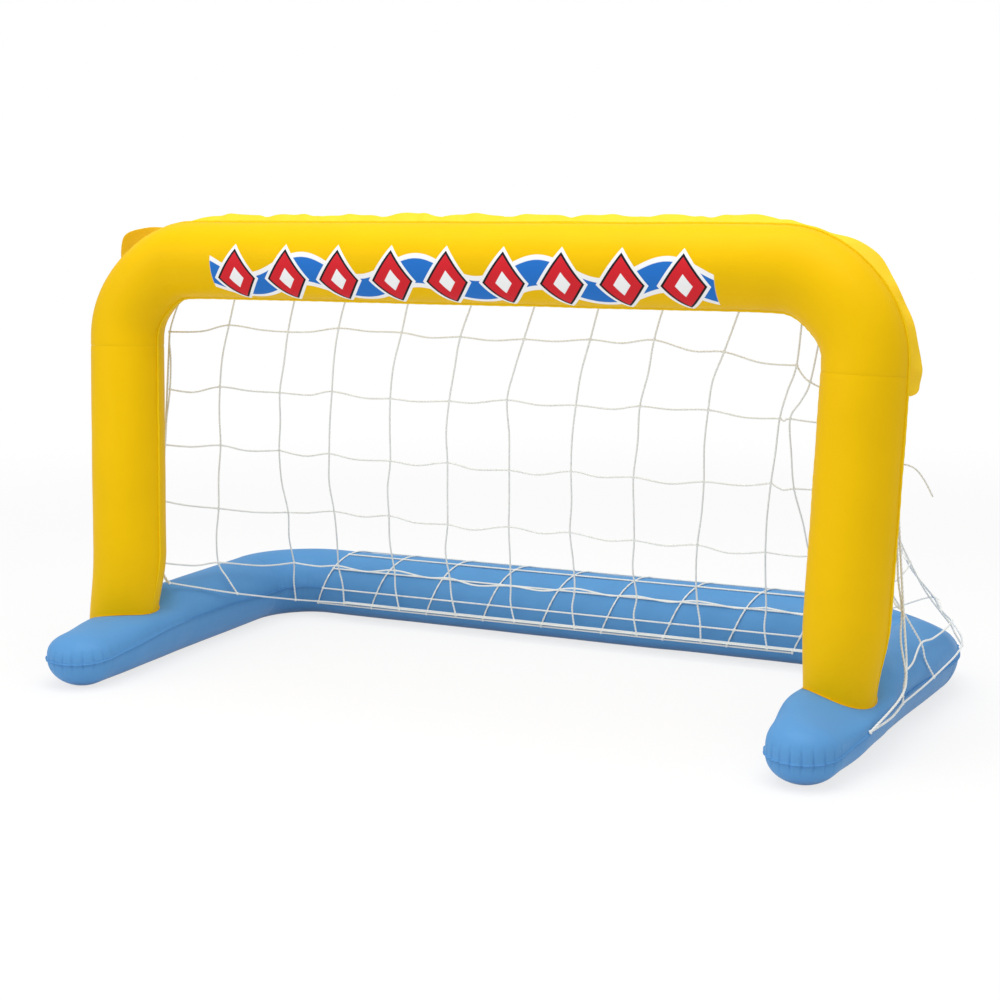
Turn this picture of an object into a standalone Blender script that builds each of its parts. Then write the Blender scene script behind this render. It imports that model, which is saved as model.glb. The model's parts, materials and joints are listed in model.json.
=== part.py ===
"""Inflatable goal: a welded film arch on a three-tube base, a twine net and two air valves.

Metres, +Z up, the goal mouth faces -Y. The origin is on the floor, midway along width and depth.
"""

import math

import bmesh
import bpy
from mathutils import Matrix, Vector

# Film and welds
FILM = 0.0005
TOUCH = 0.0003
FACETS = 10
ARCH_LIP = 0.005
BASE_LIP = 0.0025

# Arch, measured in its own plane, which leans back from the floor
ARCH_RADIUS = 0.065
ARCH_HALF_TOP = 0.645
ARCH_HALF_FOOT = 0.625
ARCH_HEIGHT = 0.695
ARCH_CORNER = 0.130
ARCH_LEAN = math.radians(4.45)
CROSS_WELD_HEIGHT = 0.545
FOOT_HEIGHT = 0.085
CORNER_STEPS = 8

# Base: two arms and a rear tube, resting on a flattened underside
TUBE_RADIUS = 0.061
ARM_HALF_SPACING = 0.6206
ARM_SPLAY = 0.0409
NOSE_Y = -0.134
REAR_Y = 0.508
BASE_CORNER = 0.115
FLOOR_FLAT = 0.002
NOSE_ANGLES = (20, 40, 57, 70, 80, 87)

# Hem, the film strip at the back of the arch that carries the net
HEM_ANGLE = math.radians(40)
HEM_HEIGHT = 0.013
HEM_SCALLOP = 0.006
HEM_THICKNESS = 0.005
HEM_STEPS_PER_SCALLOP = 4

# Net and cords
TWINE = 0.0028
CORD = 0.0030
NET_INSETS = (0.051, 0.131)
FOOT_INSETS = (0.0674, 0.0374)
REAR_FIRST = 2
REAR_LAST = 10
ARM_FIRST = 12
NET_COLUMNS = 15
HEM_HOLD = 0.0090
CORNER_SLACK = 0.0030
BACK_ANGLE = math.radians(86)
BACK_CLEAR = 0.0055
HANG_SHARES = (0.0, 0.21, 0.40, 0.60, 0.80, 1.0)
NET_SAG = 0.035
LEFT_ARM_Y = (0.085, 0.235)
RIGHT_ARM_Y = (0.400, 0.240, 0.085)

# Where columns lie on the base: clearance from the film, and degrees up from level round the tube
REAR_FOOT_LIE = (0.0135, -18)
FOOT_LIE = {0: (0.0135, 70), 1: (0.0135, 20), 12: (0.0190, 25), 13: (0.0120, 20), 14: (0.0095, 8),
            15: (0.0085, 5)}
REAR_LAST_ROW_LIE = (0.034, 30)
LAST_ROW_LIE = {0: (0.047, 84), 1: (0.023, 66), 12: (0.021, 62), 13: (0.014, 54), 14: (0.014, 54),
                15: (0.029, 40)}
WRAP_ANGLES = (-30, 0, 36, 72, 108, 144, 180, 210)
WRAP_MESHES = 8

# The right border cord's end, past the outside of the post's foot to a knot on the arm, from its line
BORDER_END = ((0.0859, 0.020, 0.092), (0.0639, -0.056, 0.058))

# Tie cord at the right post
TIE_HEIGHT = 0.41
TIE_TAIL = ((0.0, 0.0, 0.0), (0.012, 0.001, 0.0), (0.024, 0.008, -0.006), (0.033, 0.016, -0.019),
            (0.040, 0.023, -0.034), (0.046, 0.027, -0.048))

# Air valves
VALVE_FLANGE_RADIUS = 0.016
VALVE_FLANGE = 0.0012
STEM_RADIUS = 0.0065
STEM_BORE = 0.0048
STEM_LENGTH = 0.019
STEM_OUT = 0.0135
STEM_RUN = 0.0003
PLUG_CAP = 0.0022
PLUG_DEPTH = 0.0035
PLUG_RUN = 0.0004
PLUG_TAPER = 0.0006
STRAP_WIDTH = 0.004
STRAP_REACH = 0.0035
STRAP_EAR = 0.0012
FLAP = 0.0008
VALVE_SIDES = 20
ARCH_VALVE_HEIGHT = 0.30
BASE_VALVE_Y = 0.250
BASE_VALVE_FACET = 1

YELLOW = ("arch_film", (0.93, 0.66, 0.02), 0.32)
HEM_YELLOW = ("hem_film", (0.90, 0.62, 0.02), 0.38)
BLUE = ("base_film", (0.16, 0.38, 0.75), 0.32)
WHITE = ("net_twine", (0.88, 0.90, 0.88), 0.75)
CLEAR = ("valve_vinyl", (0.82, 0.88, 0.92), 0.30)

WORLD_Y = Vector((0, 1, 0))
WORLD_Z = Vector((0, 0, 1))
ARCH_UP = Vector((0, math.sin(ARCH_LEAN), math.cos(ARCH_LEAN)))
ARCH_BACK = Vector((0, math.cos(ARCH_LEAN), -math.sin(ARCH_LEAN)))
TUBE_Z = TUBE_RADIUS - FLOOR_FLAT
FRONT_REACH = NOSE_Y - TUBE_RADIUS
WRAP_STEP = math.radians(max(after - angle for angle, after in zip(WRAP_ANGLES, WRAP_ANGLES[1:])))
WRAP_REACH = (TUBE_RADIUS + TWINE / 2 + TOUCH) / math.cos(WRAP_STEP / 2)
REAR_REACH = REAR_Y + WRAP_REACH + TWINE / 2
DEPTH_CENTRE = (FRONT_REACH + REAR_REACH) / 2
LAST_ROW = len(HANG_SHARES) + 1

# The net's columns, between its insets from the posts' lines above and from the rear corners below
NET_LEFT = NET_INSETS[0] - ARCH_HALF_TOP
MESH = (ARCH_HALF_TOP - NET_INSETS[1] - NET_LEFT) / REAR_LAST
REAR_HALF = ARM_HALF_SPACING + ARM_SPLAY * REAR_Y - BASE_CORNER
FOOT_LEFT = FOOT_INSETS[0] - REAR_HALF
FOOT_MESH = (REAR_HALF - FOOT_INSETS[1] - FOOT_LEFT) / (ARM_FIRST - REAR_FIRST - 2)
VALVE_SEAT = TOUCH + VALVE_FLANGE
STRAP_HINGE = STEM_RADIUS + STRAP_REACH


def material(finish):
    name, colour, roughness = finish
    made = bpy.data.materials.get(name)
    if made is None:
        made = bpy.data.materials.new(name)
        made.use_nodes = True
        shader = made.node_tree.nodes["Principled BSDF"]
        shader.inputs["Base Color"].default_value = (*colour, 1)
        shader.inputs["Roughness"].default_value = roughness
        shader.inputs["Metallic"].default_value = 0
    return made


def add_object(name, data, finish):
    made = bpy.data.objects.new(name, data)
    bpy.context.scene.collection.objects.link(made)
    data.materials.append(material(finish))
    made.parent = goal_frame
    return made


def mesh_object(name, bm, finish, smooth=True):
    bmesh.ops.recalc_face_normals(bm, faces=bm.faces)
    mesh = bpy.data.meshes.new(name)
    bm.to_mesh(mesh)
    bm.free()
    if smooth:
        mesh.shade_smooth()
        mesh.set_sharp_from_angle(angle=math.radians(40))
    return add_object(name, mesh, finish)


def hide_guide(guide):
    guide.hide_render = True
    guide.display_type = "WIRE"


def cut(target, cutter):
    boolean = target.modifiers.new("cut", "BOOLEAN")
    boolean.operation = "DIFFERENCE"
    boolean.solver = "EXACT"
    boolean.object = cutter


def sweep(name, rings, finish):
    """Skin rings of points, each ring one closed outline, and cap both ends."""
    bm = bmesh.new()
    loops = [[bm.verts.new(point) for point in ring] for ring in rings]
    for here, there in zip(loops, loops[1:]):
        for k in range(len(here)):
            after = (k + 1) % len(here)
            bm.faces.new((here[k], here[after], there[after], there[k]))
    bm.faces.new(loops[0])
    bm.faces.new(reversed(loops[-1]))
    return mesh_object(name, bm, finish)


def half_arc(radius, start, flat_from):
    """Points from one seam to the other, with one straight facet between flat_from and its mirror."""
    steps = FACETS // 2
    rising = [start + (flat_from - start) * k / steps for k in range(steps + 1)]
    angles = rising + [math.pi - a for a in reversed(rising)]
    return [(radius * math.cos(a), radius * math.sin(a)) for a in angles]


def film_outline(radius, lip, flat, turn=0.0):
    """One film panel's section as (across, outward, along): half a tube with a weld lip on each edge."""
    outer_radius = radius * math.cos(turn)
    inner_radius = (radius - FILM) * math.cos(turn)
    seat = TOUCH / 2
    flat_from = math.asin(1 - flat / radius) if flat else math.pi / 2 * (1 - 1 / FACETS)
    outer = half_arc(outer_radius, math.asin(min(0.9, (seat + FILM) / outer_radius)), flat_from)
    inner = half_arc(inner_radius, math.asin(min(0.9, seat / inner_radius)), flat_from)
    edge = outer_radius + lip
    outer = [(edge, seat), (edge, seat + FILM)] + outer + [(-edge, seat + FILM), (-edge, seat)]
    if flat:
        outer = [(a, min(b, radius - flat)) for a, b in outer]
        inner = [(a, min(b, radius - flat - FILM)) for a, b in inner]
    shift = -FILM * math.sin(turn)
    return [(a, b, 0.0) for a, b in outer] + [(a, b, shift) for a, b in reversed(inner)]


def film_ring(centre, across, outward, along, outline):
    return [centre + a * across + b * outward + c * along for a, b, c in outline]


def rounded_path(points, radius, steps):
    """Stations (position, direction) along a polyline whose corners are rounded."""
    stations = [(points[0], (points[1] - points[0]).normalized())]
    for before, corner, after in zip(points, points[1:], points[2:]):
        come = (corner - before).normalized()
        leave = (after - corner).normalized()
        turn = come.angle(leave)
        axis = come.cross(leave).normalized()
        start = corner - come * radius * math.tan(turn / 2)
        centre = start + axis.cross(come) * radius
        for k in range(steps + 1):
            spin = Matrix.Rotation(turn * k / steps, 3, axis)
            stations.append((centre + spin @ (start - centre), spin @ come))
    stations.append((points[-1], (points[-1] - points[-2]).normalized()))
    return stations


def arch_point(x, height, depth=0.0):
    return Vector((x, 0, 0)) + ARCH_UP * height + ARCH_BACK * depth


def arch_half(height):
    """Half the spacing of the posts' centrelines at a height along the arch's plane."""
    return ARCH_HALF_FOOT + (ARCH_HALF_TOP - ARCH_HALF_FOOT) * height / ARCH_HEIGHT


def arm_x(y):
    return ARM_HALF_SPACING + ARM_SPLAY * y


def arch_panels(section, stations):
    for side, outward in (("front", -ARCH_BACK), ("rear", ARCH_BACK)):
        outline = film_outline(ARCH_RADIUS, ARCH_LIP, 0)
        rings = [film_ring(at, along.cross(ARCH_BACK), outward, along, outline) for at, along in stations]
        yield side, sweep(f"arch_{section}_{side}_panel", rings, YELLOW)


def crossbar_path():
    """The arch's centreline from one cross weld over both corners to the other."""
    weld = CROSS_WELD_HEIGHT
    corners = [arch_point(-arch_half(weld), weld), arch_point(-ARCH_HALF_TOP, ARCH_HEIGHT),
               arch_point(ARCH_HALF_TOP, ARCH_HEIGHT), arch_point(arch_half(weld), weld)]
    return rounded_path(corners, ARCH_CORNER, CORNER_STEPS)


def make_arch():
    panels = dict(arch_panels("crossbar", crossbar_path()))
    for hand, sign in (("left", -1), ("right", 1)):
        foot = arch_point(sign * arch_half(FOOT_HEIGHT), FOOT_HEIGHT)
        top_height = CROSS_WELD_HEIGHT - TOUCH
        top = arch_point(sign * arch_half(top_height), top_height)
        along = (top - foot).normalized()
        saddle = arm_saddle(hand, sign)
        for side, panel in arch_panels(f"{hand}_post", [(foot, along), (top, along)]):
            cut(panel, saddle)
            panels[f"{hand}_{side}"] = panel
    return panels


def arm_saddle(hand, sign):
    """A cylinder round the arm, which gives the post's foot its saddle."""
    sides = 48
    radius = (TUBE_RADIUS + TOUCH) / math.cos(math.pi / sides)
    bm = bmesh.new()
    bmesh.ops.create_cone(bm, cap_ends=True, segments=sides, radius1=radius, radius2=radius, depth=0.6)
    along = Vector((sign * ARM_SPLAY, 1, 0)).normalized()
    turn = along.to_track_quat("Z", "X").to_matrix().to_4x4()
    bmesh.ops.transform(bm, matrix=Matrix.Translation((sign * arm_x(0), 0, TUBE_Z)) @ turn, verts=bm.verts)
    guide = mesh_object(f"{hand}_saddle_guide", bm, BLUE)
    hide_guide(guide)
    return guide


def base_panels(name, stations):
    """Upper and lower panels over stations of (position, direction, turn towards a nose's tip)."""
    for side, outward, flat in (("upper", WORLD_Z, 0), ("lower", -WORLD_Z, FLOOR_FLAT)):
        rings = []
        for at, along, turn in stations:
            outline = film_outline(TUBE_RADIUS, BASE_LIP, flat, turn)
            rings.append(film_ring(at, along.cross(WORLD_Z), outward, along, outline))
        sweep(f"base_{name}_{side}_panel", rings, BLUE)


def make_base():
    nose = Vector((-arm_x(NOSE_Y), NOSE_Y, TUBE_Z))
    corner = Vector((-arm_x(REAR_Y), REAR_Y, TUBE_Z))
    mirror = Vector((-1, 1, 1))
    path = rounded_path([nose, corner, corner * mirror, nose * mirror], BASE_CORNER, CORNER_STEPS)
    rear = [(at, along, 0.0) for at, along in path[1:-1]]
    base_panels("rear_tube", rear)
    weld, along = path[1]
    for hand, flip in (("left", Vector((1, 1, 1))), ("right", mirror)):
        towards_nose = -along * flip
        stations = [(weld * flip + towards_nose * TOUCH, towards_nose, 0.0), (nose * flip, towards_nose, 0.0)]
        for degrees in NOSE_ANGLES:
            turn = math.radians(degrees)
            stations.append((nose * flip + towards_nose * TUBE_RADIUS * math.sin(turn), towards_nose, turn))
        base_panels(f"{hand}_arm", stations)


def hem_stations():
    """Stations of the arch's centreline over the hem, close enough together to draw its scallops."""
    path = crossbar_path()
    spacing = MESH / HEM_STEPS_PER_SCALLOP
    stations = []
    for (here, come), (there, leave) in zip(path, path[1:]):
        pieces = max(1, round((there - here).length / spacing))
        stations += [(here.lerp(there, k / pieces), come.lerp(leave, k / pieces).normalized())
                     for k in range(pieces)]
    return stations + [path[-1]]


def make_hem():
    rings = []
    gone = 0.0
    stations = hem_stations()
    for k, (at, along) in enumerate(stations):
        if k:
            gone += (at - stations[k - 1][0]).length
        out = along.cross(ARCH_BACK)
        radial = out * math.cos(HEM_ANGLE) + ARCH_BACK * math.sin(HEM_ANGLE)
        flank = radial.cross(along)
        root = ARCH_RADIUS + TOUCH
        tip = root + HEM_HEIGHT + HEM_SCALLOP * abs(math.sin(math.pi * gone / MESH))
        half = HEM_THICKNESS / 2
        outline = ((root, -half), (root, half), (tip - half, half), (tip, 0), (tip - half, -half))
        rings.append([at + r * radial + s * flank for r, s in outline])
    sweep("net_hem", rings, HEM_YELLOW)


def arch_hook(column, reach, angle):
    """Where a net column passes round the back of the arch, at an angle from its outer side."""
    out, back = reach * math.cos(angle), reach * math.sin(angle)
    corner_x, corner_h = ARCH_HALF_TOP - ARCH_CORNER, ARCH_HEIGHT - ARCH_CORNER
    radius = ARCH_CORNER + out
    x = NET_LEFT + column * MESH
    if column > REAR_LAST:
        share = (column - REAR_LAST) / (NET_COLUMNS - REAR_LAST)
        turn = math.radians(90) * share
        return arch_point(corner_x + radius * math.sin(turn), corner_h + radius * math.cos(turn), back)
    if x < -corner_x:
        turn = math.asin((-corner_x - x) / radius)
        return arch_point(x, corner_h + radius * math.cos(turn), back)
    return arch_point(x, ARCH_HEIGHT + out, back)


def head_point(column, above=0.0):
    """A net column's top knot, against the back of the hem, or nearer the hem's edge by a step above."""
    clear = HEM_THICKNESS / 2 + TOUCH + TWINE * math.sqrt(0.5)
    if column > REAR_LAST or column < REAR_FIRST:
        clear += CORNER_SLACK
    reach = ARCH_RADIUS + HEM_HOLD + above
    return arch_hook(column, reach, HEM_ANGLE + math.asin(clear / reach))


def around_base(column, reach, angle):
    """A point round the base's tube where a net column ends, reach from its centreline."""
    side, lift = reach * math.cos(angle), reach * math.sin(angle)
    height = TUBE_Z + lift
    corner_x, corner_y = arm_x(REAR_Y) - BASE_CORNER, REAR_Y - BASE_CORNER
    diagonal = math.sqrt(0.5)
    if column < REAR_FIRST:
        y = LEFT_ARM_Y[column]
        return Vector((-arm_x(y) + side, y, height))
    if column == REAR_FIRST:
        inside = (BASE_CORNER - side) * diagonal
        return Vector((-corner_x - inside, corner_y + inside, height))
    if column < ARM_FIRST:
        along = FOOT_LEFT + (column - REAR_FIRST - 1) * FOOT_MESH
        return Vector((along, REAR_Y - side, height))
    if column == ARM_FIRST:
        outside = (BASE_CORNER + side) * diagonal
        return Vector((corner_x + outside, corner_y + outside, height))
    y = RIGHT_ARM_Y[column - ARM_FIRST - 1]
    return Vector((arm_x(y) + side, y, height))


def foot_point(column, inset=0.0):
    clear, degrees = FOOT_LIE.get(column, REAR_FOOT_LIE)
    return around_base(column, TUBE_RADIUS + clear - inset, math.radians(degrees))


def last_row_point(column):
    clear, degrees = LAST_ROW_LIE.get(column, REAR_LAST_ROW_LIE)
    return around_base(column, TUBE_RADIUS + clear, math.radians(degrees))


def net_point(column, row):
    """A knot of the net: row 0 on the hem, row 1 at the arch's back, the last along the base."""
    if row == 0:
        return head_point(column)
    if row == LAST_ROW:
        return foot_point(column)
    share = HANG_SHARES[row - 1]
    point = arch_hook(column, ARCH_RADIUS + BACK_CLEAR, BACK_ANGLE).lerp(last_row_point(column), share)
    free = min(1.0, column / REAR_FIRST, (NET_COLUMNS - column) / (NET_COLUMNS - ARM_FIRST))
    return point - WORLD_Y * NET_SAG * free * 4 * share * (1 - share)


def net_panel(name, grid, open_cell=None):
    """Twine along every edge of a grid of knots; open_cell (row, column) is left without its faces."""
    bm = bmesh.new()
    knots = [[bm.verts.new(point) for point in row] for row in grid]
    for row, (above, below) in enumerate(zip(knots, knots[1:])):
        for k in range(len(above) - 1):
            if (row, k) != open_cell:
                bm.faces.new((above[k], below[k], below[k + 1], above[k + 1]))
    panel = mesh_object(name, bm, WHITE, smooth=False)
    twine = panel.modifiers.new("twine", "WIREFRAME")
    twine.thickness = TWINE
    twine.use_even_offset = False
    twine.use_boundary = True
    twine.use_replace = True
    return panel


def hanging_panel(name, first, last, inset_left, inset_right):
    """Net columns first to last; an inset edge stands one twine clear of its neighbour.

    Where the net passes over the rear corner, between the tube's front and the arm's outer side,
    its last row has an open cell.
    """
    grid = []
    open_cell = (LAST_ROW - 1, ARM_FIRST - 1 - first)
    for row in range(LAST_ROW + 1):
        points = [net_point(column, row) for column in range(first, last + 1)]
        clear = TWINE + TOUCH
        if inset_left:
            points[0] += (points[1] - points[0]).normalized() * clear
        if inset_right:
            points[-1] += (points[-2] - points[-1]).normalized() * clear
        grid.append(points)
    net_panel(name, grid, open_cell)


def make_wrap():
    """The net's loose end, wrapped over the rear tube and skewed half a mesh to each row."""
    grid = []
    half = arm_x(REAR_Y) - BASE_CORNER
    pitch = 2 * half / (WRAP_MESHES + 1)
    for row, degrees in enumerate(WRAP_ANGLES):
        angle = math.radians(degrees)
        skew = pitch * row / (len(WRAP_ANGLES) - 1)
        grid.append([Vector((-half + skew + column * pitch,
                             REAR_Y - WRAP_REACH * math.cos(angle),
                             TUBE_Z + WRAP_REACH * math.sin(angle)))
                     for column in range(WRAP_MESHES + 1)])
    net_panel("net_tube_wrap", grid)


def smooth_route(points, steps):
    """Points of a curve that passes through the route's points and bends evenly between them."""
    route = [points[0]] + list(points) + [points[-1]]
    curve = []
    for p0, p1, p2, p3 in zip(route, route[1:], route[2:], route[3:]):
        for k in range(steps):
            t = k / steps
            curve.append(0.5 * (2 * p1 + (p2 - p0) * t + (2 * p0 - 5 * p1 + 4 * p2 - p3) * t * t
                                + (3 * p1 - p0 - 3 * p2 + p3) * t ** 3))
    return curve + [points[-1]]


def cord(name, points, diameter=CORD):
    curve = bpy.data.curves.new(name, "CURVE")
    curve.dimensions = "3D"
    curve.bevel_depth = diameter / 2
    curve.bevel_resolution = 2
    curve.use_fill_caps = True
    spline = curve.splines.new("POLY")
    spline.points.add(len(points) - 1)
    for spot, point in zip(spline.points, points):
        spot.co = (*point, 1)
    return add_object(name, curve, WHITE)


def make_cords():
    clear = CORD / 2 + TWINE * math.sqrt(0.5) + TOUCH
    columns = range(NET_COLUMNS + 1)
    cord("net_head_cord", smooth_route([head_point(column, clear) for column in columns], 2))
    cord("net_foot_cord", [foot_point(column, clear) for column in columns if 3 <= column < 12])
    cord("left_border_cord", border_route(0, -1))
    arm = Vector((ARM_HALF_SPACING, 0, 0))
    border = border_route(NET_COLUMNS, 1)[:-1] + [arm + Vector(step) for step in BORDER_END]
    cord("right_border_cord", smooth_route(border, 4))
    knot = border_at_height(border, TIE_HEIGHT) + Vector((CORD / 2 + TOUCH, 0, 0))
    tail = [knot + Vector(step) for step in TIE_TAIL]
    cord("tie_cord", smooth_route(tail, 2), TWINE)


def border_route(edge, side):
    """A cord beside the net's edge column, clear of the corners of its twine, towards -X or +X."""
    clear = CORD / 2 + TWINE * math.sqrt(0.5) + TOUCH
    return [net_point(edge, row) + Vector((side * clear, 0, 0)) for row in range(2, LAST_ROW + 1)]


def border_at_height(points, height):
    for above, below in zip(points, points[1:]):
        if below.z <= height <= above.z:
            return above.lerp(below, (above.z - height) / (above.z - below.z))
    return points[0]


def turned(name, profile, place, finish, sides=VALVE_SIDES):
    """A ring turned round the valve's axis from a closed profile of (radius, height)."""
    bm = bmesh.new()
    loops = []
    for k in range(sides):
        angle = 2 * math.pi * k / sides
        loops.append([bm.verts.new((r * math.cos(angle), r * math.sin(angle), h)) for r, h in profile])
    for k, here in enumerate(loops):
        there = loops[(k + 1) % sides]
        for j in range(len(profile)):
            after = (j + 1) % len(profile)
            bm.faces.new((here[j], here[after], there[after], there[j]))
    made = mesh_object(name, bm, finish)
    made.matrix_local = place
    return made


def disc_stack(name, profile, place, finish, sides=VALVE_SIDES):
    """A solid turned from (radius, height) steps, closed at both ends."""
    rings = [[Vector((r * math.cos(2 * math.pi * k / sides), r * math.sin(2 * math.pi * k / sides), h))
              for k in range(sides)] for r, h in profile]
    made = sweep(name, rings, finish)
    made.matrix_local = place
    return made


def join_strap(name, target, place, low, high):
    """Unite a flat strap, from the valve's wall out to the plug's hinge, with a turned piece."""
    bm = bmesh.new()
    bmesh.ops.create_cube(bm, size=1)
    root = (STEM_RADIUS + STEM_BORE) / 2
    middle = ((root + STRAP_HINGE) / 2, 0, (low + high) / 2)
    size = Matrix.Diagonal((STRAP_HINGE - root, STRAP_WIDTH, high - low, 1))
    bmesh.ops.transform(bm, matrix=place @ Matrix.Translation(middle) @ size, verts=bm.verts)
    guide = mesh_object(f"{name}_strap_guide", bm, CLEAR)
    hide_guide(guide)
    union = target.modifiers.new("strap", "BOOLEAN")
    union.operation = "UNION"
    union.solver = "EXACT"
    union.object = guide


def make_valve(name, place, film_panel):
    """Flange, sliding stem, one-way flap and hinged plug; place puts +Z out of the film."""
    bore = STEM_RADIUS + STEM_RUN
    turned(f"{name}_valve_flange",
           [(bore, TOUCH), (VALVE_FLANGE_RADIUS, TOUCH), (VALVE_FLANGE_RADIUS, (TOUCH + VALVE_SEAT) / 2),
            (VALVE_FLANGE_RADIUS - VALVE_FLANGE, VALVE_SEAT), (bore, VALVE_SEAT)], place, CLEAR)
    low = STEM_OUT - STEM_LENGTH
    stem = turned(f"{name}_valve_stem",
                  [(STEM_BORE, low), (STEM_RADIUS, low), (STEM_RADIUS, STEM_OUT), (STEM_BORE, STEM_OUT)],
                  place, CLEAR)
    join_strap(f"{name}_stem", stem, place, STEM_OUT - STRAP_EAR, STEM_OUT)
    flap_top = low - TOUCH
    disc_stack(f"{name}_valve_flap", [(STEM_RADIUS, flap_top - FLAP), (STEM_RADIUS, flap_top)], place, CLEAR)
    cap = STEM_OUT + TOUCH
    tongue = STEM_BORE - PLUG_RUN
    plug = disc_stack(f"{name}_valve_plug",
                      [(tongue - PLUG_TAPER, STEM_OUT - PLUG_DEPTH), (tongue, STEM_OUT - PLUG_DEPTH / 4),
                       (tongue, cap), (STEM_RADIUS, cap), (STEM_RADIUS, cap + PLUG_CAP)], place, CLEAR)
    join_strap(f"{name}_plug", plug, place, cap, cap + PLUG_CAP)
    bm = bmesh.new()
    bmesh.ops.create_cone(bm, cap_ends=True, segments=32, radius1=STEM_RADIUS + 2 * STEM_RUN,
                          radius2=STEM_RADIUS + 2 * STEM_RUN, depth=0.06)
    bmesh.ops.transform(bm, matrix=place, verts=bm.verts)
    hole = mesh_object(f"{name}_valve_hole_guide", bm, CLEAR)
    hide_guide(hole)
    cut(film_panel, hole)


def facet_seat(radius, facet):
    """The angle up from the seam of a film facet's middle, and its distance from the centreline."""
    start = math.asin((TOUCH / 2 + FILM) / radius)
    step = (math.pi / 2 * (1 - 1 / FACETS) - start) / (FACETS // 2)
    return start + step * (facet + 0.5), radius * math.cos(step / 2)


def facing(origin, outward):
    turn = outward.to_track_quat("Z", "Y").to_matrix().to_4x4()
    return Matrix.Translation(origin) @ turn


def make_valves(panels):
    flat_radius = ARCH_RADIUS * math.cos(math.pi / FACETS / 2)
    post = arch_point(-arch_half(ARCH_VALVE_HEIGHT), ARCH_VALVE_HEIGHT)
    make_valve("arch", facing(post + ARCH_BACK * flat_radius, ARCH_BACK), panels["left_rear"])
    tilt, seat = facet_seat(TUBE_RADIUS, BASE_VALVE_FACET)
    along = Vector((-ARM_SPLAY, 1, 0)).normalized()
    side = -along.cross(WORLD_Z)
    outward = side * math.cos(tilt) + WORLD_Z * math.sin(tilt)
    arm = Vector((-arm_x(BASE_VALVE_Y), BASE_VALVE_Y, TUBE_Z))
    make_valve("base", facing(arm + outward * seat, outward), bpy.data.objects["base_left_arm_upper_panel"])


for stray in list(bpy.data.objects):
    bpy.data.objects.remove(stray)

goal_frame = bpy.data.objects.new("goal_frame", None)
bpy.context.scene.collection.objects.link(goal_frame)
goal_frame.location = (0, -DEPTH_CENTRE, 0)

arch = make_arch()
make_base()
make_hem()
hanging_panel("net_left_side_panel", 0, REAR_FIRST, False, True)
hanging_panel("net_rear_panel", REAR_FIRST, REAR_LAST, False, False)
hanging_panel("net_right_side_panel", REAR_LAST, NET_COLUMNS, True, False)
make_wrap()
make_cords()
make_valves(arch)
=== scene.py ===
"""Inflatable goal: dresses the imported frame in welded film, knotted net, cords and vinyl valves.

Metres, +Z up, the goal mouth faces -Y. Runs as a script in Blender 4.5 and is laid out as an add-on.
"""

import json
import math
import random
from collections import namedtuple

import bpy
from bpy.props import FloatProperty, FloatVectorProperty, IntProperty, PointerProperty
from mathutils import Matrix, Vector, noise


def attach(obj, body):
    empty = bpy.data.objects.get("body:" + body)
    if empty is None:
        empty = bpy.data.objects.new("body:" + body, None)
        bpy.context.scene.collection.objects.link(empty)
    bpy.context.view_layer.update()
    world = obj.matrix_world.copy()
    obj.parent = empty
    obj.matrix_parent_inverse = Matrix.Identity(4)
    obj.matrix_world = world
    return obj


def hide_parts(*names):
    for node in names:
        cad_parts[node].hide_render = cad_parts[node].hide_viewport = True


bl_info = {
    "name": "Inflatable Goal",
    "version": (1, 0, 0),
    "blender": (4, 5, 0),
    "location": "View3D > Sidebar > Goal",
    "description": "Models a welded film goal with a twine net and air valves",
    "category": "Add Mesh",
}

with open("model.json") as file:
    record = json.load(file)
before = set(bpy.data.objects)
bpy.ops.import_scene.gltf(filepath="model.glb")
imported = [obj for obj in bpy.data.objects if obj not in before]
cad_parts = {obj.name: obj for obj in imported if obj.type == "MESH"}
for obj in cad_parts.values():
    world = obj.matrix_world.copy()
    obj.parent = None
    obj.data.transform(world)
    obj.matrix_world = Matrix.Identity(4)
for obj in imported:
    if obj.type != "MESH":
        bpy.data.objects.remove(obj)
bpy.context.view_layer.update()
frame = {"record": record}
RESTS = {mount["name"]: Vector(mount["pos_m"]) for mount in frame["record"]["mounts"]}

# Clearances, as in the frame
TOUCH = 0.0003
SEAM = TOUCH / 2

# Arch, measured in its own plane, which leans back from the line through both arms' rests
ARCH_Y = RESTS["right_arm_rest"].y
ARCH_RADIUS = 0.065
ARCH_HALF_TOP = 0.645
ARCH_HALF_FOOT = 0.625
ARCH_HEIGHT = 0.695
ARCH_CORNER = 0.130
ARCH_LEAN = math.radians(4.45)
CROSS_WELD_HEIGHT = 0.545

# Base, its depths measured from the arch's line
TUBE_RADIUS = 0.061
FLOOR_FLAT = 0.002
TUBE_Z = TUBE_RADIUS - FLOOR_FLAT
ARM_HALF_SPACING = RESTS["right_arm_rest"].x
ARM_SPLAY = 0.0409
NOSE_Y = -0.134
REAR_Y = 0.508
BASE_CORNER = 0.115

# Hem
HEM_ANGLE = math.radians(40)
HEM_HEIGHT = 0.013
HEM_SLOT = 0.005
HEM_TAIL = 0.028
HEM_ROUND = 0.012
HEM_STAND = ((-0.77, 0.010), (-0.655, 0.013), (-0.605, 0.032), (-0.56, 0.018), (-0.50, 0.026),
             (0.47, 0.026), (0.535, 0.009), (0.60, 0.021), (0.645, 0.010), (0.69, 0.010),
             (0.725, 0.017), (0.77, 0.013))
HEM_LEAN = math.radians(30)
HEM_LEAN_RUN = -0.605
HEM_LEAN_SPAN = 0.035
HEM_PUFF_END = (0.50, 0.56)
HEM_GATHER_PITCH = 0.046
HEM_GATHER_DRIFT = 0.07
HEM_CRINKLE = 0.018
HEM_FRAY = 0.030
HEM_LOOSE = (0.05, 0.9)

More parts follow.
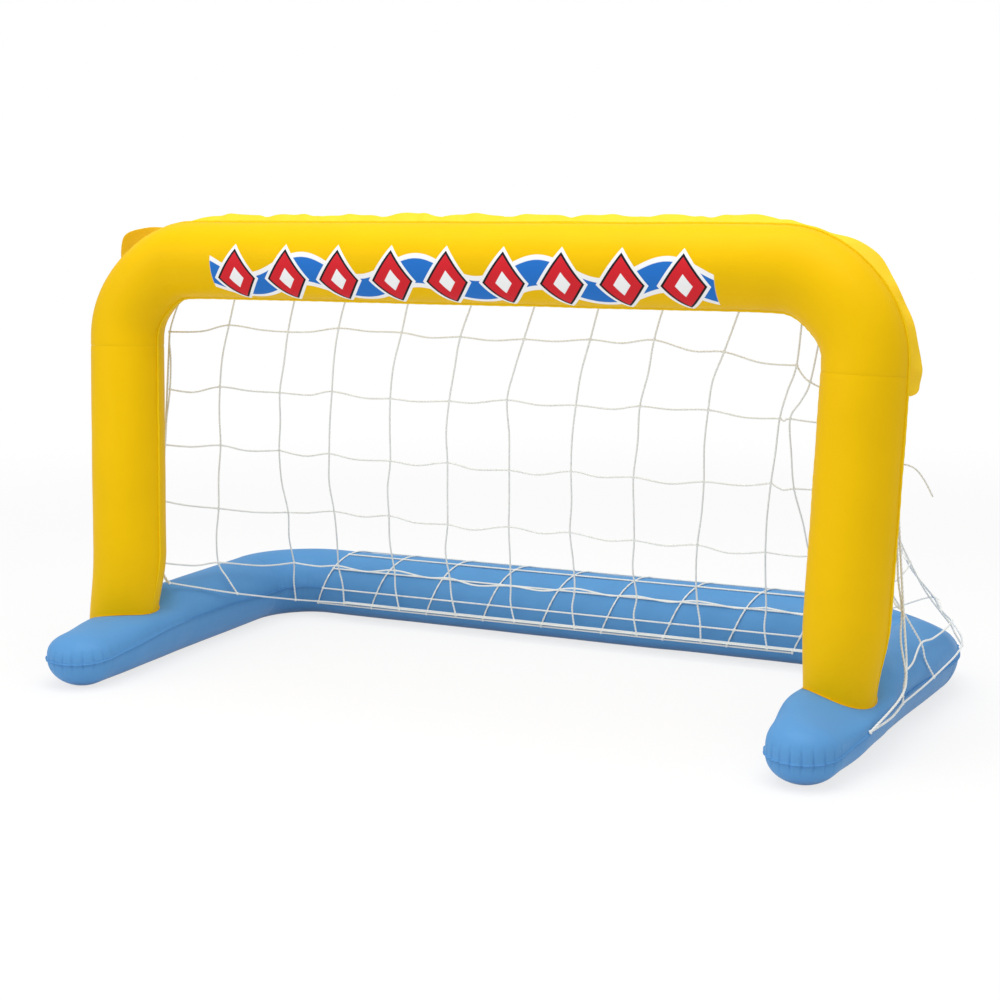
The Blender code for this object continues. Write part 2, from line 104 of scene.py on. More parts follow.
# Net, in columns from the left and rows from the hem down
NET_COLUMNS = 15
REAR_FIRST = 2
REAR_LAST = 10
ARM_FIRST = 12
NET_LEFT = 0.051 - ARCH_HALF_TOP
MESH = (ARCH_HALF_TOP - 0.131 - NET_LEFT) / REAR_LAST
REAR_HALF = ARM_HALF_SPACING + ARM_SPLAY * REAR_Y - BASE_CORNER
FOOT_LEFT = 0.0674 - REAR_HALF
FOOT_MESH = (REAR_HALF - 0.0374 - FOOT_LEFT) / (ARM_FIRST - REAR_FIRST - 2)
TWINE_SEAT = 0.0028
CORD_SEAT = 0.0030
CORD_CLEAR = CORD_SEAT / 2 + TWINE_SEAT * math.sqrt(0.5) + TOUCH
CORD_LAY = 1.2
WRAP_KNOT = 0.85
HEM_HOLD = 0.0090
CORNER_SLACK = 0.0030
BACK_ANGLE = math.radians(86)
BACK_CLEAR = 0.0055
HANG_SHARES = (0.0, 0.21, 0.40, 0.60, 0.80, 1.0)
LAST_ROW = len(HANG_SHARES) + 1
NET_SAG = 0.035
LEFT_ARM_Y = (0.085, 0.235)
RIGHT_ARM_Y = (0.400, 0.240, 0.085)
REAR_FOOT_LIE = (0.0135, -18)
FOOT_LIE = {0: (0.0135, 70), 1: (0.0135, 20), 12: (0.0190, 25), 13: (0.0120, 20), 14: (0.0095, 8),
            15: (0.0085, 5)}
REAR_LAST_ROW_LIE = (0.034, 30)
LAST_ROW_LIE = {0: (0.047, 84), 1: (0.023, 66), 12: (0.021, 62), 13: (0.014, 54), 14: (0.014, 54),
                15: (0.029, 40)}
WRAP_ANGLES = (-30, 0, 36, 72, 108, 144, 180, 210)
WRAP_MESHES = 8
BORDER_END = ((0.0859, 0.020, 0.092), (0.0639, -0.056, 0.058))
LACING_BULGE = 0.006

# Film out of round: the arch a little slim on its outer side, its corners drawn in, its feet gathered
ARCH_SLIM = 0.0038
HEM_DRAWN_IN = ARCH_SLIM * (1 + math.cos(HEM_ANGLE))
CORNER_CUT = 0.0065
CORNER_SPAN = 0.075
FOOT_GATHER = (0.070, 0.200)
FOOT_FLANGE = 0.0024
FOOT_FLANGE_LIFT = 0.0009
FOOT_CLEAR = 0.0006
FOOT_HEIGHT = 0.09
FOOT_SEARCH = (0.03, 0.17)
FOOT_SEARCH_STEPS = 22
FOOT_HALF = {-1: 0.0567, 1: 0.0515}
FOOT_SHIFT = {-1: 0.018, 1: 0.001}
ARCH_WELD_GROOVE = 0.0005
ARCH_WELD_WIDTH = 0.0020

# The arms pressed flat under the posts and falling to their noses, and the slack corner at the right rear
POST_PRESS = (0.050, 0.118)
POST_DENT = 0.024
POST_SWELL = 0.004
POST_BOX = 0.40
SEAM_LIFT = 0.007
SEAM_RUN = (-0.210, 0.060)
WELD_RUN = (0.180, 0.380)
NOSE_FALL = (-0.160, -0.030)
NOSE_DROP = {-1: 0.015, 1: 0.021}
NOSE_DENT = 0.009
NOSE_ROUND = 0.12
NOSE_SLIM = {-1: 0.003, 1: 0.007}
TOP_TILT = {-1: 0.002, 1: 0.010}
TOP_TILT_PLACE = (-0.050, 0.090)
CORNER_SLUMP = 0.019
CORNER_SLUMP_SPAN = 0.095
BASE_WELD_GROOVE = 0.0005
BASE_WELD_WIDTH = 0.0025

# Pinched outer corners of the rear tube, and the pleats round the noses
EAR_SPAN = 0.028
EAR_REACH = 0.024
EAR_PLEAT = 0.22
EAR_PLEAT_PITCH = 0.0125
BASE_FOLD_DEPTH = 0.0008
PLEAT_RUN = (1.25, 1.85)
PLEAT_REACH = 0.019
PLEAT_SHARPNESS = 10
ARC_CROWDING = 1.15

# Tie cord at the right post: its steps from the knot on the border cord
TIE_HEIGHT = 0.41
TIE_TAIL = ((0.0, 0.0, 0.0), (0.012, 0.001, 0.0), (0.024, 0.008, -0.006), (0.033, 0.016, -0.019),
            (0.040, 0.023, -0.034), (0.046, 0.027, -0.048))

# Air valves, along their own axes from the film outwards
VALVE_FLANGE_RADIUS = 0.016
VALVE_FLANGE = 0.0012
STEM_RADIUS = 0.0065
STEM_BORE = 0.0048
STEM_LENGTH = 0.019
STEM_OUT = 0.0135
STEM_RUN = 0.0003
STRAP_HINGE = 0.0100
STRAP_WIDTH = 0.004
PLUG_CAP = 0.0022
PLUG_DEPTH = 0.0035
PLUG_RUN = 0.0004
PLUG_TAPER = 0.0006
FLAP = 0.0008
STEM_STRAP = 0.0012
SEAT_EASE = (1.1, 2.1)

# Edges sharper than these stay sharp when a piece is shaded smooth
FILM_CREASE = math.radians(50)
VALVE_CREASE = math.radians(42)

# Share by which the print's edges are blurred
PRINT_BLUR = 0.02

# The photograph's camera: turn about Z, tilt and roll, lens, and place
CAMERA_YAW = math.radians(26.4639)
CAMERA_PITCH = math.radians(9.2459)
CAMERA_ROLL = math.radians(-0.2896)
CAMERA_LENS = 68.3
SENSOR_WIDTH = 36.0
CAMERA_PLACE = Vector((1.3577, -2.5527 + ARCH_Y, 0.7983))

# Stage: the floor, how far out it turns white, and where the lamps stand and point
FLOOR_SIZE = 24
FLOOR_DROP = 0.0004
FLOOR_WHITENS = (1.2, 3.4)
FLOOR_GLOW = 0.75
KEY_PLACE = (0.3, -0.6, 3.2)
KEY_SIZE = 3.0
FILL_PLACE = (-2.6, -3.0, 1.8)
FILL_SIZE = 2.4
LAMP_AIM = Vector((0, 0, 0.35))

WORLD_Y = Vector((0, 1, 0))
WORLD_Z = Vector((0, 0, 1))
ORIGIN = Vector((0, ARCH_Y, 0))
ARCH_UP = Vector((0, math.sin(ARCH_LEAN), math.cos(ARCH_LEAN)))
ARCH_BACK = Vector((0, math.cos(ARCH_LEAN), -math.sin(ARCH_LEAN)))

Station = namedtuple("Station", "run at along")
Section = namedtuple("Section", "half seam top power")
Swell = namedtuple("Swell", "length turn")
Pucker = namedtuple("Pucker", "pitch drift layer")
Fold = namedtuple("Fold", "pitch sway layer span reach")

# How film strays from a true tube: slow swells, puckers at the seams and folds inside the corners
ARCH_SWELL = Swell(0.11, 0.9)
BASE_SWELL = Swell(0.12, 0.9)
ARM_SWELL = Swell(0.12, 0.8)
ARCH_PUCKER = Pucker(0.021, 0.06, 4)
BASE_PUCKER = Pucker(0.019, 0.06, 14)
ARM_PUCKER = Pucker(0.022, 0.05, 34)
PUCKER_SWAY = 3
PUCKER_REACH = 0.008
ARCH_FOLD = Fold(0.027, 2.4, 8, 0.085, 0.022)
BASE_FOLD = Fold(0.024, 2, 18, 0.10, 0.020)
FOLD_DRIFT = 0.05
SEAM_WAVE = 0.6
SEAM_WAVE_LENGTHS = (0.045, 0.016)
SEAM_WAVE_REACH = 0.03


# Places on the arch, the base and the net, worked out as the frame works them out

def arch_point(x, height, depth=0.0):
    return ORIGIN + Vector((x, 0, 0)) + ARCH_UP * height + ARCH_BACK * depth


def arch_half(height):
    return ARCH_HALF_FOOT + (ARCH_HALF_TOP - ARCH_HALF_FOOT) * height / ARCH_HEIGHT


def arm_x(y):
    return ARM_HALF_SPACING + ARM_SPLAY * y


def rounded_path(points, radius, steps):
    """Positions and directions along a polyline whose corners are rounded."""
    stations = [(points[0], (points[1] - points[0]).normalized())]
    for before, corner, after in zip(points, points[1:], points[2:]):
        come = (corner - before).normalized()
        leave = (after - corner).normalized()
        turn = come.angle(leave)
        axis = come.cross(leave).normalized()
        start = corner - come * radius * math.tan(turn / 2)
        centre = start + axis.cross(come) * radius
        for k in range(steps + 1):
            spin = Matrix.Rotation(turn * k / steps, 3, axis)
            stations.append((centre + spin @ (start - centre), spin @ come))
    stations.append((points[-1], (points[-1] - points[-2]).normalized()))
    return stations


def spaced(path, spacing):
    """Stations at about even spacing along a path, their run measured from its middle."""
    total = sum((b - a).length for (a, _), (b, _) in zip(path, path[1:]))
    run = -total / 2
    stations = []
    for (here, come), (there, leave) in zip(path, path[1:]):
        reach = (there - here).length
        pieces = max(1, round(reach / spacing))
        for k in range(pieces):
            share = k / pieces
            stations.append(Station(run + reach * share, here.lerp(there, share),
                                    come.lerp(leave, share).normalized()))
        run += reach
    return stations + [Station(run, *path[-1])]


def crossbar_path(steps=48):
    weld = CROSS_WELD_HEIGHT
    corners = [arch_point(-arch_half(weld), weld), arch_point(-ARCH_HALF_TOP, ARCH_HEIGHT),
               arch_point(ARCH_HALF_TOP, ARCH_HEIGHT), arch_point(arch_half(weld), weld)]
    return rounded_path(corners, ARCH_CORNER, steps)


def base_path(steps=44):
    nose = ORIGIN + Vector((-arm_x(NOSE_Y), NOSE_Y, TUBE_Z))
    corner = ORIGIN + Vector((-arm_x(REAR_Y), REAR_Y, TUBE_Z))
    mirror = Vector((-1, 1, 1))
    return rounded_path([nose, corner, corner * mirror, nose * mirror], BASE_CORNER, steps)


def arch_hook(column, reach, angle):
    out, back = reach * math.cos(angle), reach * math.sin(angle)
    corner_x, corner_h = ARCH_HALF_TOP - ARCH_CORNER, ARCH_HEIGHT - ARCH_CORNER
    radius = ARCH_CORNER + out
    x = NET_LEFT + column * MESH
    if column > REAR_LAST:
        turn = math.radians(90) * (column - REAR_LAST) / (NET_COLUMNS - REAR_LAST)
        radius -= corner_cut((turn - math.pi / 4) * ARCH_CORNER) * math.cos(angle)
        return arch_point(corner_x + radius * math.sin(turn), corner_h + radius * math.cos(turn), back)
    if x < -corner_x:
        turn = math.asin((-corner_x - x) / radius)
        radius -= corner_cut((turn - math.pi / 4) * ARCH_CORNER) * math.cos(angle)
        return arch_point(x, corner_h + radius * math.cos(turn), back)
    return arch_point(x, ARCH_HEIGHT + out, back)


def head_point(column, above=0.0):
    clear = HEM_SLOT / 2 + TOUCH + TWINE_SEAT * math.sqrt(0.5)
    if column > REAR_LAST or column < REAR_FIRST:
        clear += CORNER_SLACK
    reach = ARCH_RADIUS - HEM_DRAWN_IN + HEM_HOLD + above
    return arch_hook(column, reach, HEM_ANGLE + math.asin(clear / reach))


def around_base(column, reach, angle):
    side, lift = reach * math.cos(angle), reach * math.sin(angle)
    height = TUBE_Z + lift
    corner_x, corner_y = arm_x(REAR_Y) - BASE_CORNER, REAR_Y - BASE_CORNER
    diagonal = math.sqrt(0.5)
    if column < REAR_FIRST:
        y = LEFT_ARM_Y[column]
        return ORIGIN + Vector((-arm_x(y) + side, y, height))
    if column == REAR_FIRST:
        inside = (BASE_CORNER - side) * diagonal
        return ORIGIN + Vector((-corner_x - inside, corner_y + inside, height))
    if column < ARM_FIRST:
        return ORIGIN + Vector((FOOT_LEFT + (column - REAR_FIRST - 1) * FOOT_MESH, REAR_Y - side, height))
    if column == ARM_FIRST:
        outside = (BASE_CORNER + side) * diagonal
        return ORIGIN + Vector((corner_x + outside, corner_y + outside, height))
    y = RIGHT_ARM_Y[column - ARM_FIRST - 1]
    return ORIGIN + Vector((arm_x(y) + side, y, height))


def foot_point(column, inset=0.0):
    clear, degrees = FOOT_LIE.get(column, REAR_FOOT_LIE)
    return around_base(column, TUBE_RADIUS + clear - inset, math.radians(degrees))


def last_row_point(column):
    clear, degrees = LAST_ROW_LIE.get(column, REAR_LAST_ROW_LIE)
    return around_base(column, TUBE_RADIUS + clear, math.radians(degrees))


def net_point(column, row):
    if row == 0:
        return head_point(column)
    if row == LAST_ROW:
        return foot_point(column)
    share = HANG_SHARES[row - 1]
    point = arch_hook(column, ARCH_RADIUS + BACK_CLEAR, BACK_ANGLE).lerp(last_row_point(column), share)
    free = min(1.0, column / REAR_FIRST, (NET_COLUMNS - column) / (NET_COLUMNS - ARM_FIRST))
    return point - WORLD_Y * NET_SAG * free * 4 * share * (1 - share)


def border_route(edge, side):
    return [net_point(edge, row) + Vector((side * CORD_CLEAR, 0, 0)) for row in range(2, LAST_ROW + 1)]


def right_border_route():
    start = ORIGIN + Vector((ARM_HALF_SPACING, 0, 0))
    return border_route(NET_COLUMNS, 1)[:-1] + [start + Vector(step) for step in BORDER_END]


def point_at_height(points, height):
    for above, below in zip(points, points[1:]):
        if below.z <= height <= above.z:
            return above.lerp(below, (above.z - height) / (above.z - below.z))
    return points[0]


def smooth_route(points, steps):
    """Points of a curve that passes through the route's points and bends evenly between them."""
    route = [points[0]] + list(points) + [points[-1]]
    curve = []
    for p0, p1, p2, p3 in zip(route, route[1:], route[2:], route[3:]):
        for k in range(steps):
            t = k / steps
            curve.append(0.5 * (2 * p1 + (p2 - p0) * t + (2 * p0 - 5 * p1 + 4 * p2 - p3) * t * t
                                + (3 * p1 - p0 - 3 * p2 + p3) * t ** 3))
    return curve + [points[-1]]


def ease(low, high, value):
    share = min(1.0, max(0.0, (value - low) / (high - low)))
    return share * share * (3 - 2 * share)


def hump(distance, width):
    return math.exp(-(distance / width) ** 2)


def corner_cut(off_corner):
    """How far the arch's corner is drawn in, at a run from the corner's middle."""
    return CORNER_CUT * hump(off_corner, CORNER_SPAN)


def between(marks, place):
    """The value at a place on a line of (place, value) marks, eased from mark to mark."""
    for (low, first), (high, last) in zip(marks, marks[1:]):
        if place <= high:
            return first + (last - first) * ease(low, high, place)
    return marks[-1][1]


# Materials

class Amount:
    """A number that varies over a surface, reckoned with in Python like any other number."""

    def __init__(self, recipe, socket):
        self.recipe = recipe
        self.socket = socket

    def __add__(self, other):
        return self.recipe.sum("ADD", self, other)

    def __radd__(self, other):
        return self.recipe.sum("ADD", other, self)

    def __sub__(self, other):
        return self.recipe.sum("SUBTRACT", self, other)

    def __rsub__(self, other):
        return self.recipe.sum("SUBTRACT", other, self)

    def __mul__(self, other):
        return self.recipe.sum("MULTIPLY", self, other)

    def __rmul__(self, other):
        return self.recipe.sum("MULTIPLY", other, self)

    def __truediv__(self, other):
        return self.recipe.sum("DIVIDE", self, other)

    def __abs__(self):
        return self.recipe.sum("ABSOLUTE", self)

    def sine(self):
        return self.recipe.sum("SINE", self)

    def fraction(self):
        return self.recipe.sum("FRACT", self)

    def over(self, low, high):
        """0 below low, 1 above high, eased between; low may be the larger."""
        node = self.recipe.node("ShaderNodeMapRange", {"interpolation_type": "SMOOTHSTEP"},
                                {0: self, 1: low, 2: high})
        return Amount(self.recipe, node.outputs[0])


class Recipe:
    """One material: its nodes, and what feeds its shader."""

    def __init__(self, name, roughness=0.4, **constants):
        self.material = bpy.data.materials.new(name)
        self.material.use_nodes = True
        self.tree = self.material.node_tree
        self.shader = self.tree.nodes["Principled BSDF"]
        self.feed(self.shader.inputs["Roughness"], roughness)
        for key, value in constants.items():
            self.shader.inputs[key.replace("_", " ").title().replace("Ior", "IOR")].default_value = value

    def feed(self, socket, value):
        if isinstance(value, Amount):
            self.tree.links.new(value.socket, socket)
        elif isinstance(value, bpy.types.NodeSocket):
            self.tree.links.new(value, socket)
        else:
            socket.default_value = value

    def node(self, kind, settings=None, inputs=None):
        made = self.tree.nodes.new(kind)
        for key, value in (settings or {}).items():
            setattr(made, key, value)
        for key, value in (inputs or {}).items():
            self.feed(made.inputs[key], value)
        return made

    def sum(self, operation, *terms):
        node = self.node("ShaderNodeMath", {"operation": operation}, dict(enumerate(terms)))
        return Amount(self, node.outputs[0])

    def larger(self, one, other):
        return self.sum("MAXIMUM", one, other)

    def places(self):
        return self.node("ShaderNodeTexCoord").outputs["Object"]

    def lengths(self):
        """Metres along a piece and metres round it, from its UV map."""
        split = self.node("ShaderNodeSeparateXYZ", inputs={0: self.node("ShaderNodeTexCoord").outputs["UV"]})
        return Amount(self, split.outputs[0]), Amount(self, split.outputs[1])

    def cloud(self, size, detail=2.0):
        """Noise about 0.5 whose blotches are about so many metres across."""
        node = self.node("ShaderNodeTexNoise",
                         inputs={"Vector": self.places(), "Scale": 1 / size, "Detail": detail})
        return Amount(self, node.outputs["Fac"])

    def blend(self, share, first, second):
        node = self.node("ShaderNodeMix", {"data_type": "RGBA"}, {0: share, 6: first, 7: second})
        return node.outputs[2]

    def bump(self, height, distance):
        node = self.node("ShaderNodeBump", inputs={"Height": height, "Distance": distance, "Strength": 1.0})
        self.feed(self.shader.inputs["Normal"], node.outputs[0])

    def colour(self, value):
        self.feed(self.shader.inputs["Base Color"], value)

    def rough(self, value):
        self.feed(self.shader.inputs["Roughness"], value)


def shade(colour, factor=1.0):
    """A lighter or darker shade of a colour, with the alpha that a socket wants."""
    return tuple(min(1.0, part * factor) for part in colour) + (1.0,)


def film_recipe(name, settings, half_round, lip):
    """Welded film: clouded colour, doubled lips in a colour of their own with a weld line, soft gloss; on the
    arch that lip colour is paler than the film, painted light against the shade on its edge-on lips.
    """
    recipe = Recipe(name, coat_weight=settings.gloss, coat_roughness=0.20, specular_ior_level=0.06)
    _, around = recipe.lengths()
    clouded = recipe.blend(recipe.cloud(0.09, 3.0), shade(settings.colour, 0.94),
                           shade(settings.colour, 1.05))
    from_seam = half_round / 2 - abs(around - half_round / 2)
    on_lip = from_seam.over(0.0008, -0.0008)
    # The lips take their own colour; on the arch it is paler than the film, a painted lightening against the
    # shade and orange bounce light on the edge-on lip.
    recipe.colour(recipe.blend(on_lip, clouded, shade(settings.lip_colour_and_painted_light)))
    grain = recipe.cloud(0.0016)
    crumple = recipe.cloud(0.018, 3.0)
    weld = abs(from_seam + lip * 0.5).over(lip * 0.30, lip * 0.12)
    recipe.rough(settings.roughness + 0.10 * recipe.cloud(0.03) + 0.12 * on_lip)
    recipe.bump(grain * 0.06 + crumple * 0.5 + weld * on_lip * 0.2, 0.0007)
    return recipe


def printed_film_recipe(name, settings, print_settings, half_round, lip):
    """The crossbar's front film, with a generic print of lozenges on a wave."""
    recipe = film_recipe(name, settings, half_round, lip)
    colour = recipe.shader.inputs["Base Color"].links[0].from_socket
    red, blue = shade(print_settings.red), shade(print_settings.blue)
    black, white = shade(print_settings.black), shade(print_settings.white)
    along, around = recipe.lengths()
    left, right = print_settings.left, print_settings.right
    middle, half_height = print_settings.middle, print_settings.height / 2
    within = along.over(left, left + 0.002) * along.over(right, right - 0.002)
    crest = 0.30 * half_height * (along * (2 * math.pi / print_settings.wave)).sine()
    off_wave = abs(around - middle - crest) / half_height
    for share, paint in ((0.50, white), (0.36, blue)):
        colour = recipe.blend(off_wave.over(share, share - PRINT_BLUR) * within, colour, paint)
    pitch = (right - left) / print_settings.lozenges
    local = ((along - left) / pitch).fraction() * pitch - pitch / 2
    lozenge = abs(local) / (0.43 * pitch) + abs(around - middle) / half_height
    for share, paint in ((1.02, white), (0.88, black), (0.78, red), (0.34, white)):
        colour = recipe.blend(lozenge.over(share, share - PRINT_BLUR) * within, colour, paint)
    recipe.colour(colour)
    return recipe


def twine_recipe(name, settings, lay):
    """Twisted off-white twine: fibres along its strands, with painted shade darkening the grooves between its
    plies.
    """
    recipe = Recipe(name, roughness=0.75, sheen_weight=0.3, sheen_roughness=0.5)
    along, turn = recipe.lengths()
    ply = ((along / lay - turn) * (4 * math.pi)).sine() * 0.5 + 0.5
    fibres = recipe.cloud(0.0009)
    soil = recipe.cloud(0.05)
    tint = recipe.blend(soil, shade(settings.colour, 0.92), shade(settings.colour, 1.04))
    # Painted shade: the grooves between the plies are darkened in the colour, up to 35 % of the way to 0.55
    # of the twine's colour.
    recipe.colour(recipe.blend(0.35 * (1 - ply), tint, shade(settings.colour, 0.55)))
    recipe.bump(ply * 0.7 + fibres * 0.4, 0.0004)
    return recipe


def vinyl_recipe(name, settings):
    """Soft clear vinyl with faint mould haze."""
    recipe = Recipe(name, transmission_weight=0.55, ior=1.45, coat_weight=0.3)
    haze = recipe.cloud(0.004)
    recipe.colour(recipe.blend(haze, shade(settings.colour, 0.95), shade(settings.colour, 1.02)))
    recipe.rough(0.16 + 0.14 * haze)
    recipe.bump(haze, 0.0002)
    return recipe


def give(piece, recipe):
    piece.data.materials.clear()
    piece.data.materials.append(recipe.material)


# Modelling helpers

def select_only(*pieces):
    bpy.ops.object.select_all(action="DESELECT")
    for piece in pieces:
        piece.select_set(True)
        bpy.context.view_layer.objects.active = piece


def added(operator, name, **settings):
    """What an add operator makes, with nothing else selected, under a name of its own."""
    bpy.ops.object.select_all(action="DESELECT")
    operator(**settings)
    piece = bpy.context.object
    piece.name = name
    piece.data.name = name
    return piece


def apply_modifier(piece, kind, **settings):
    select_only(piece)
    bpy.ops.object.modifier_add(type=kind)
    modifier = piece.modifiers[-1]
    for key, value in settings.items():
        setattr(modifier, key, value)
    bpy.ops.object.modifier_apply(modifier=modifier.name)


def smooth_piece(piece, crease):
    select_only(piece)
    bpy.ops.object.shade_smooth_by_angle(angle=crease)


def lay_film(name, rows, measures, thickness, seats=()):
    """A sheet of film laid on rows of points and thickened inwards, with a hole at each valve's seat.

    measures gives each row's metres round the tube, and each column's metres along it.
    """
    around, along = measures
    for place in seats:
        press_flat(rows, place)
    sheet = added(bpy.ops.mesh.primitive_grid_add, name, x_subdivisions=len(along) - 1,
                  y_subdivisions=len(around) - 1)
    mesh = sheet.data
    mesh.vertices.foreach_set("co", [part for row in rows for point in row for part in point])
    columns = len(along)
    places = [(along[k % columns], around[k // columns]) for k in range(len(mesh.vertices))]
    mesh.uv_layers.active.data.foreach_set(
        "uv", [part for loop in mesh.loops for part in places[loop.vertex_index]])
    bpy.ops.object.mode_set(mode="EDIT")
    bpy.ops.mesh.select_all(action="SELECT")
    bpy.ops.mesh.remove_doubles(threshold=0.00002)
    bpy.ops.object.mode_set(mode="OBJECT")
    apply_modifier(sheet, "SOLIDIFY", thickness=thickness, offset=-1.0)
    for place in seats:
        cut_hole(sheet, place, STEM_RADIUS + 2 * STEM_RUN)
    smooth_piece(sheet, FILM_CREASE)
    return sheet


class TwineWork:
    """Gathers twisted strands and knots into one mesh, with UVs of metres along and turns round."""

    SIDES = 10

    def __init__(self, diameter, lay, lobe=0.16):
        self.radius = diameter / 2
        self.lay = lay
        self.lobe = lobe
        self.points = []
        self.faces = []
        self.uvs = []

    def strand(self, route, closed=False):
        first = len(self.points)
        sides = self.SIDES
        count = len(route)
        start = (route[1] - route[0]).normalized()
        side = start.orthogonal().normalized()
        gone = 0.0
        runs = []
        for k, at in enumerate(route):
            before = route[k - 1] if k or closed else route[0]
            after = route[(k + 1) % count] if k + 1 < count or closed else route[-1]
            direction = (after - before).normalized()
            side = (side - direction * side.dot(direction)).normalized()
            rise = direction.cross(side)
            if k:
                gone += (at - route[k - 1]).length
            runs.append(gone)
            lay_turn = 2 * math.pi * gone / self.lay
            for j in range(sides):
                angle = 2 * math.pi * j / sides
                reach = self.radius * (1 - self.lobe + self.lobe * math.cos(2 * (angle - lay_turn)))
                self.points.append(at + side * (reach * math.cos(angle)) + rise * (reach * math.sin(angle)))
        runs.append(gone + (route[0] - route[-1]).length)
        for k in range(count if closed else count - 1):
            here = first + k * sides
            there = first + ((k + 1) % count) * sides
            near, far = runs[k], runs[k + 1]
            for j in range(sides):
                after = (j + 1) % sides
                self.faces.append((here + j, here + after, there + after, there + j))
                low, high = j / sides, (j + 1) / sides
                self.uvs += [(near, low), (near, high), (far, high), (far, low)]
        if not closed:
            last = first + (count - 1) * sides
            self.faces.append(tuple(range(first + sides - 1, first - 1, -1)))
            self.faces.append(tuple(range(last, last + sides)))
            self.uvs += [(0.0, j / sides) for j in reversed(range(sides))]
            self.uvs += [(gone, j / sides) for j in range(sides)]

    def knot(self, at, across, up, size):
        """A small overhand knot at a crossing, lying in the plane of across and up."""
        through = across.cross(up).normalized()
        up = through.cross(across).normalized()
        route = []
        for k in range(30):
            t = 2 * math.pi * k / 30
            x = math.sin(t) + 2 * math.sin(2 * t)
            y = math.cos(t) - 2 * math.cos(2 * t)
            z = -math.sin(3 * t)
            route.append(at + across * (x * size / 6) + up * (y * size / 6) + through * (z * size / 6))
        self.strand(route, closed=True)

    def finish(self, name):
        mesh = bpy.data.meshes.new(name)
        mesh.from_pydata(self.points, [], self.faces)
        layer = mesh.uv_layers.new(name="UVMap")
        layer.data.foreach_set("uv", [part for uv in self.uvs for part in uv])
        mesh.shade_smooth()
        piece = bpy.data.objects.new(name, mesh)
        bpy.context.scene.collection.objects.link(piece)
        return piece


def fine_route(points, spacing=0.0024):
    """A smooth curve through the points, with a point about every spacing."""
    longest = max((b - a).length for a, b in zip(points, points[1:]))
    steps = max(2, math.ceil(longest / spacing))
    return smooth_route(points, steps)


def place_piece(piece, body, slot, *nodes):
    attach(piece, body)
    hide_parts(*nodes)


# Film

def swell(settings, kind, run, angle, layer):
    """How far film stands off a true tube, in slow swells."""
    return settings.waviness * noise.noise(Vector((run / kind.length, angle / kind.turn, layer)))


def pucker(settings, kind, run, seed, off_seam):
    """How far a seam's puckers stand up, at a distance from the seam."""
    sway = PUCKER_SWAY * noise.noise(Vector((run / kind.drift, seed, kind.layer)))
    ripple = math.sin(2 * math.pi * run / kind.pitch + sway)
    return settings.pucker * ripple * math.exp(-off_seam / PUCKER_REACH)


def fold(kind, run, off_corner, off_seam):
    """How deep the gathered folds inside a corner are, as a share of their full depth."""
    sway = kind.sway * noise.noise(Vector((run / FOLD_DRIFT, 3, kind.layer)))
    wave = 0.5 + 0.5 * math.sin(2 * math.pi * run / kind.pitch + sway)
    return hump(off_corner, kind.span) * wave ** 2 * math.exp(-off_seam / kind.reach)


def seam_wave(settings, run, seed, off_seam):
    """How far a seam strays from its plane, shared by both films that meet there."""
    long, short = SEAM_WAVE_LENGTHS
    wave = noise.noise(Vector((run / long, seed, 0.3))) + 0.5 * noise.noise(Vector((run / short, seed, 7)))
    return SEAM_WAVE * settings.waviness * wave * math.exp(-off_seam / SEAM_WAVE_REACH)


def half_order(radius, thickness, arc_steps):
    """Half a tube's rows: the outer lip from its edge, the arc by angle, and the inner lip."""
    start = math.asin((SEAM + thickness) / radius)
    arc = [("arc", start + (math.pi - 2 * start) * k / arc_steps) for k in range(arc_steps + 1)]
    return [("out", 1.0), ("out", 0.5)] + arc + [("in", 0.5), ("in", 1.0)]


def row_angle(kind, value):
    if kind == "arc":
        return value
    return 0.0 if kind == "out" else math.pi


def way_round(kind, value, radius, lip):
    """Metres round the tube from its outer seam to a row."""
    if kind == "arc":
        return radius * value
    return -lip * value if kind == "out" else radius * math.pi + lip * value


def tube_film(name, stations, back, skin, front, settings, radius, flat=False):
    """Half a tube of film with both its lips.

    skin(run, angle, front) gives each point's rise off the tube and its shift along back.
    """
    face = -1 if front else 1
    rows, around = [], []
    for kind, value in half_order(radius, settings.thickness, settings.arc_steps):
        angle = row_angle(kind, value)
        row = []
        for station in stations:
            rise, shift = skin(station.run, angle, front)
            reach = radius + rise
            depth = reach * math.sin(angle)
            if kind != "arc":
                reach += settings.lip * value
                depth = SEAM + settings.thickness
            out = station.along.cross(back)
            point = station.at + out * (reach * math.cos(angle)) + back * (face * depth + shift)
            if flat:
                point.z = max(point.z, 0.0)
            row.append(point)
        rows.append(row)
        around.append(way_round(kind, value, radius, settings.lip))
    if front:
        rows.reverse()
        around.reverse()
    return lay_film(name, rows, (around, [station.run for station in stations]), settings.thickness)


def arch_skin(settings, corner_run, weld_run):
    """The arch's swells, puckers and folds, its drawn-in corners, and the cross welds' grooves."""

    def skin(run, angle, front):
        outer = ARCH_RADIUS * angle
        inner = ARCH_RADIUS * (math.pi - angle)
        near = min(outer, inner)
        seed = 1.0 if outer < inner else 5.0
        off_corner = abs(run) - corner_run
        rise = swell(settings, ARCH_SWELL, run, angle, 2.0 if front else 9.0)
        rise += pucker(settings, ARCH_PUCKER, run, seed, near)
        rise -= settings.corner_fold * fold(ARCH_FOLD, run, off_corner, inner)
        rise -= corner_cut(off_corner) * math.cos(angle)
        rise -= ARCH_WELD_GROOVE * hump(abs(run) - weld_run, ARCH_WELD_WIDTH)
        return rise, seam_wave(settings, run, seed, near)

    return skin


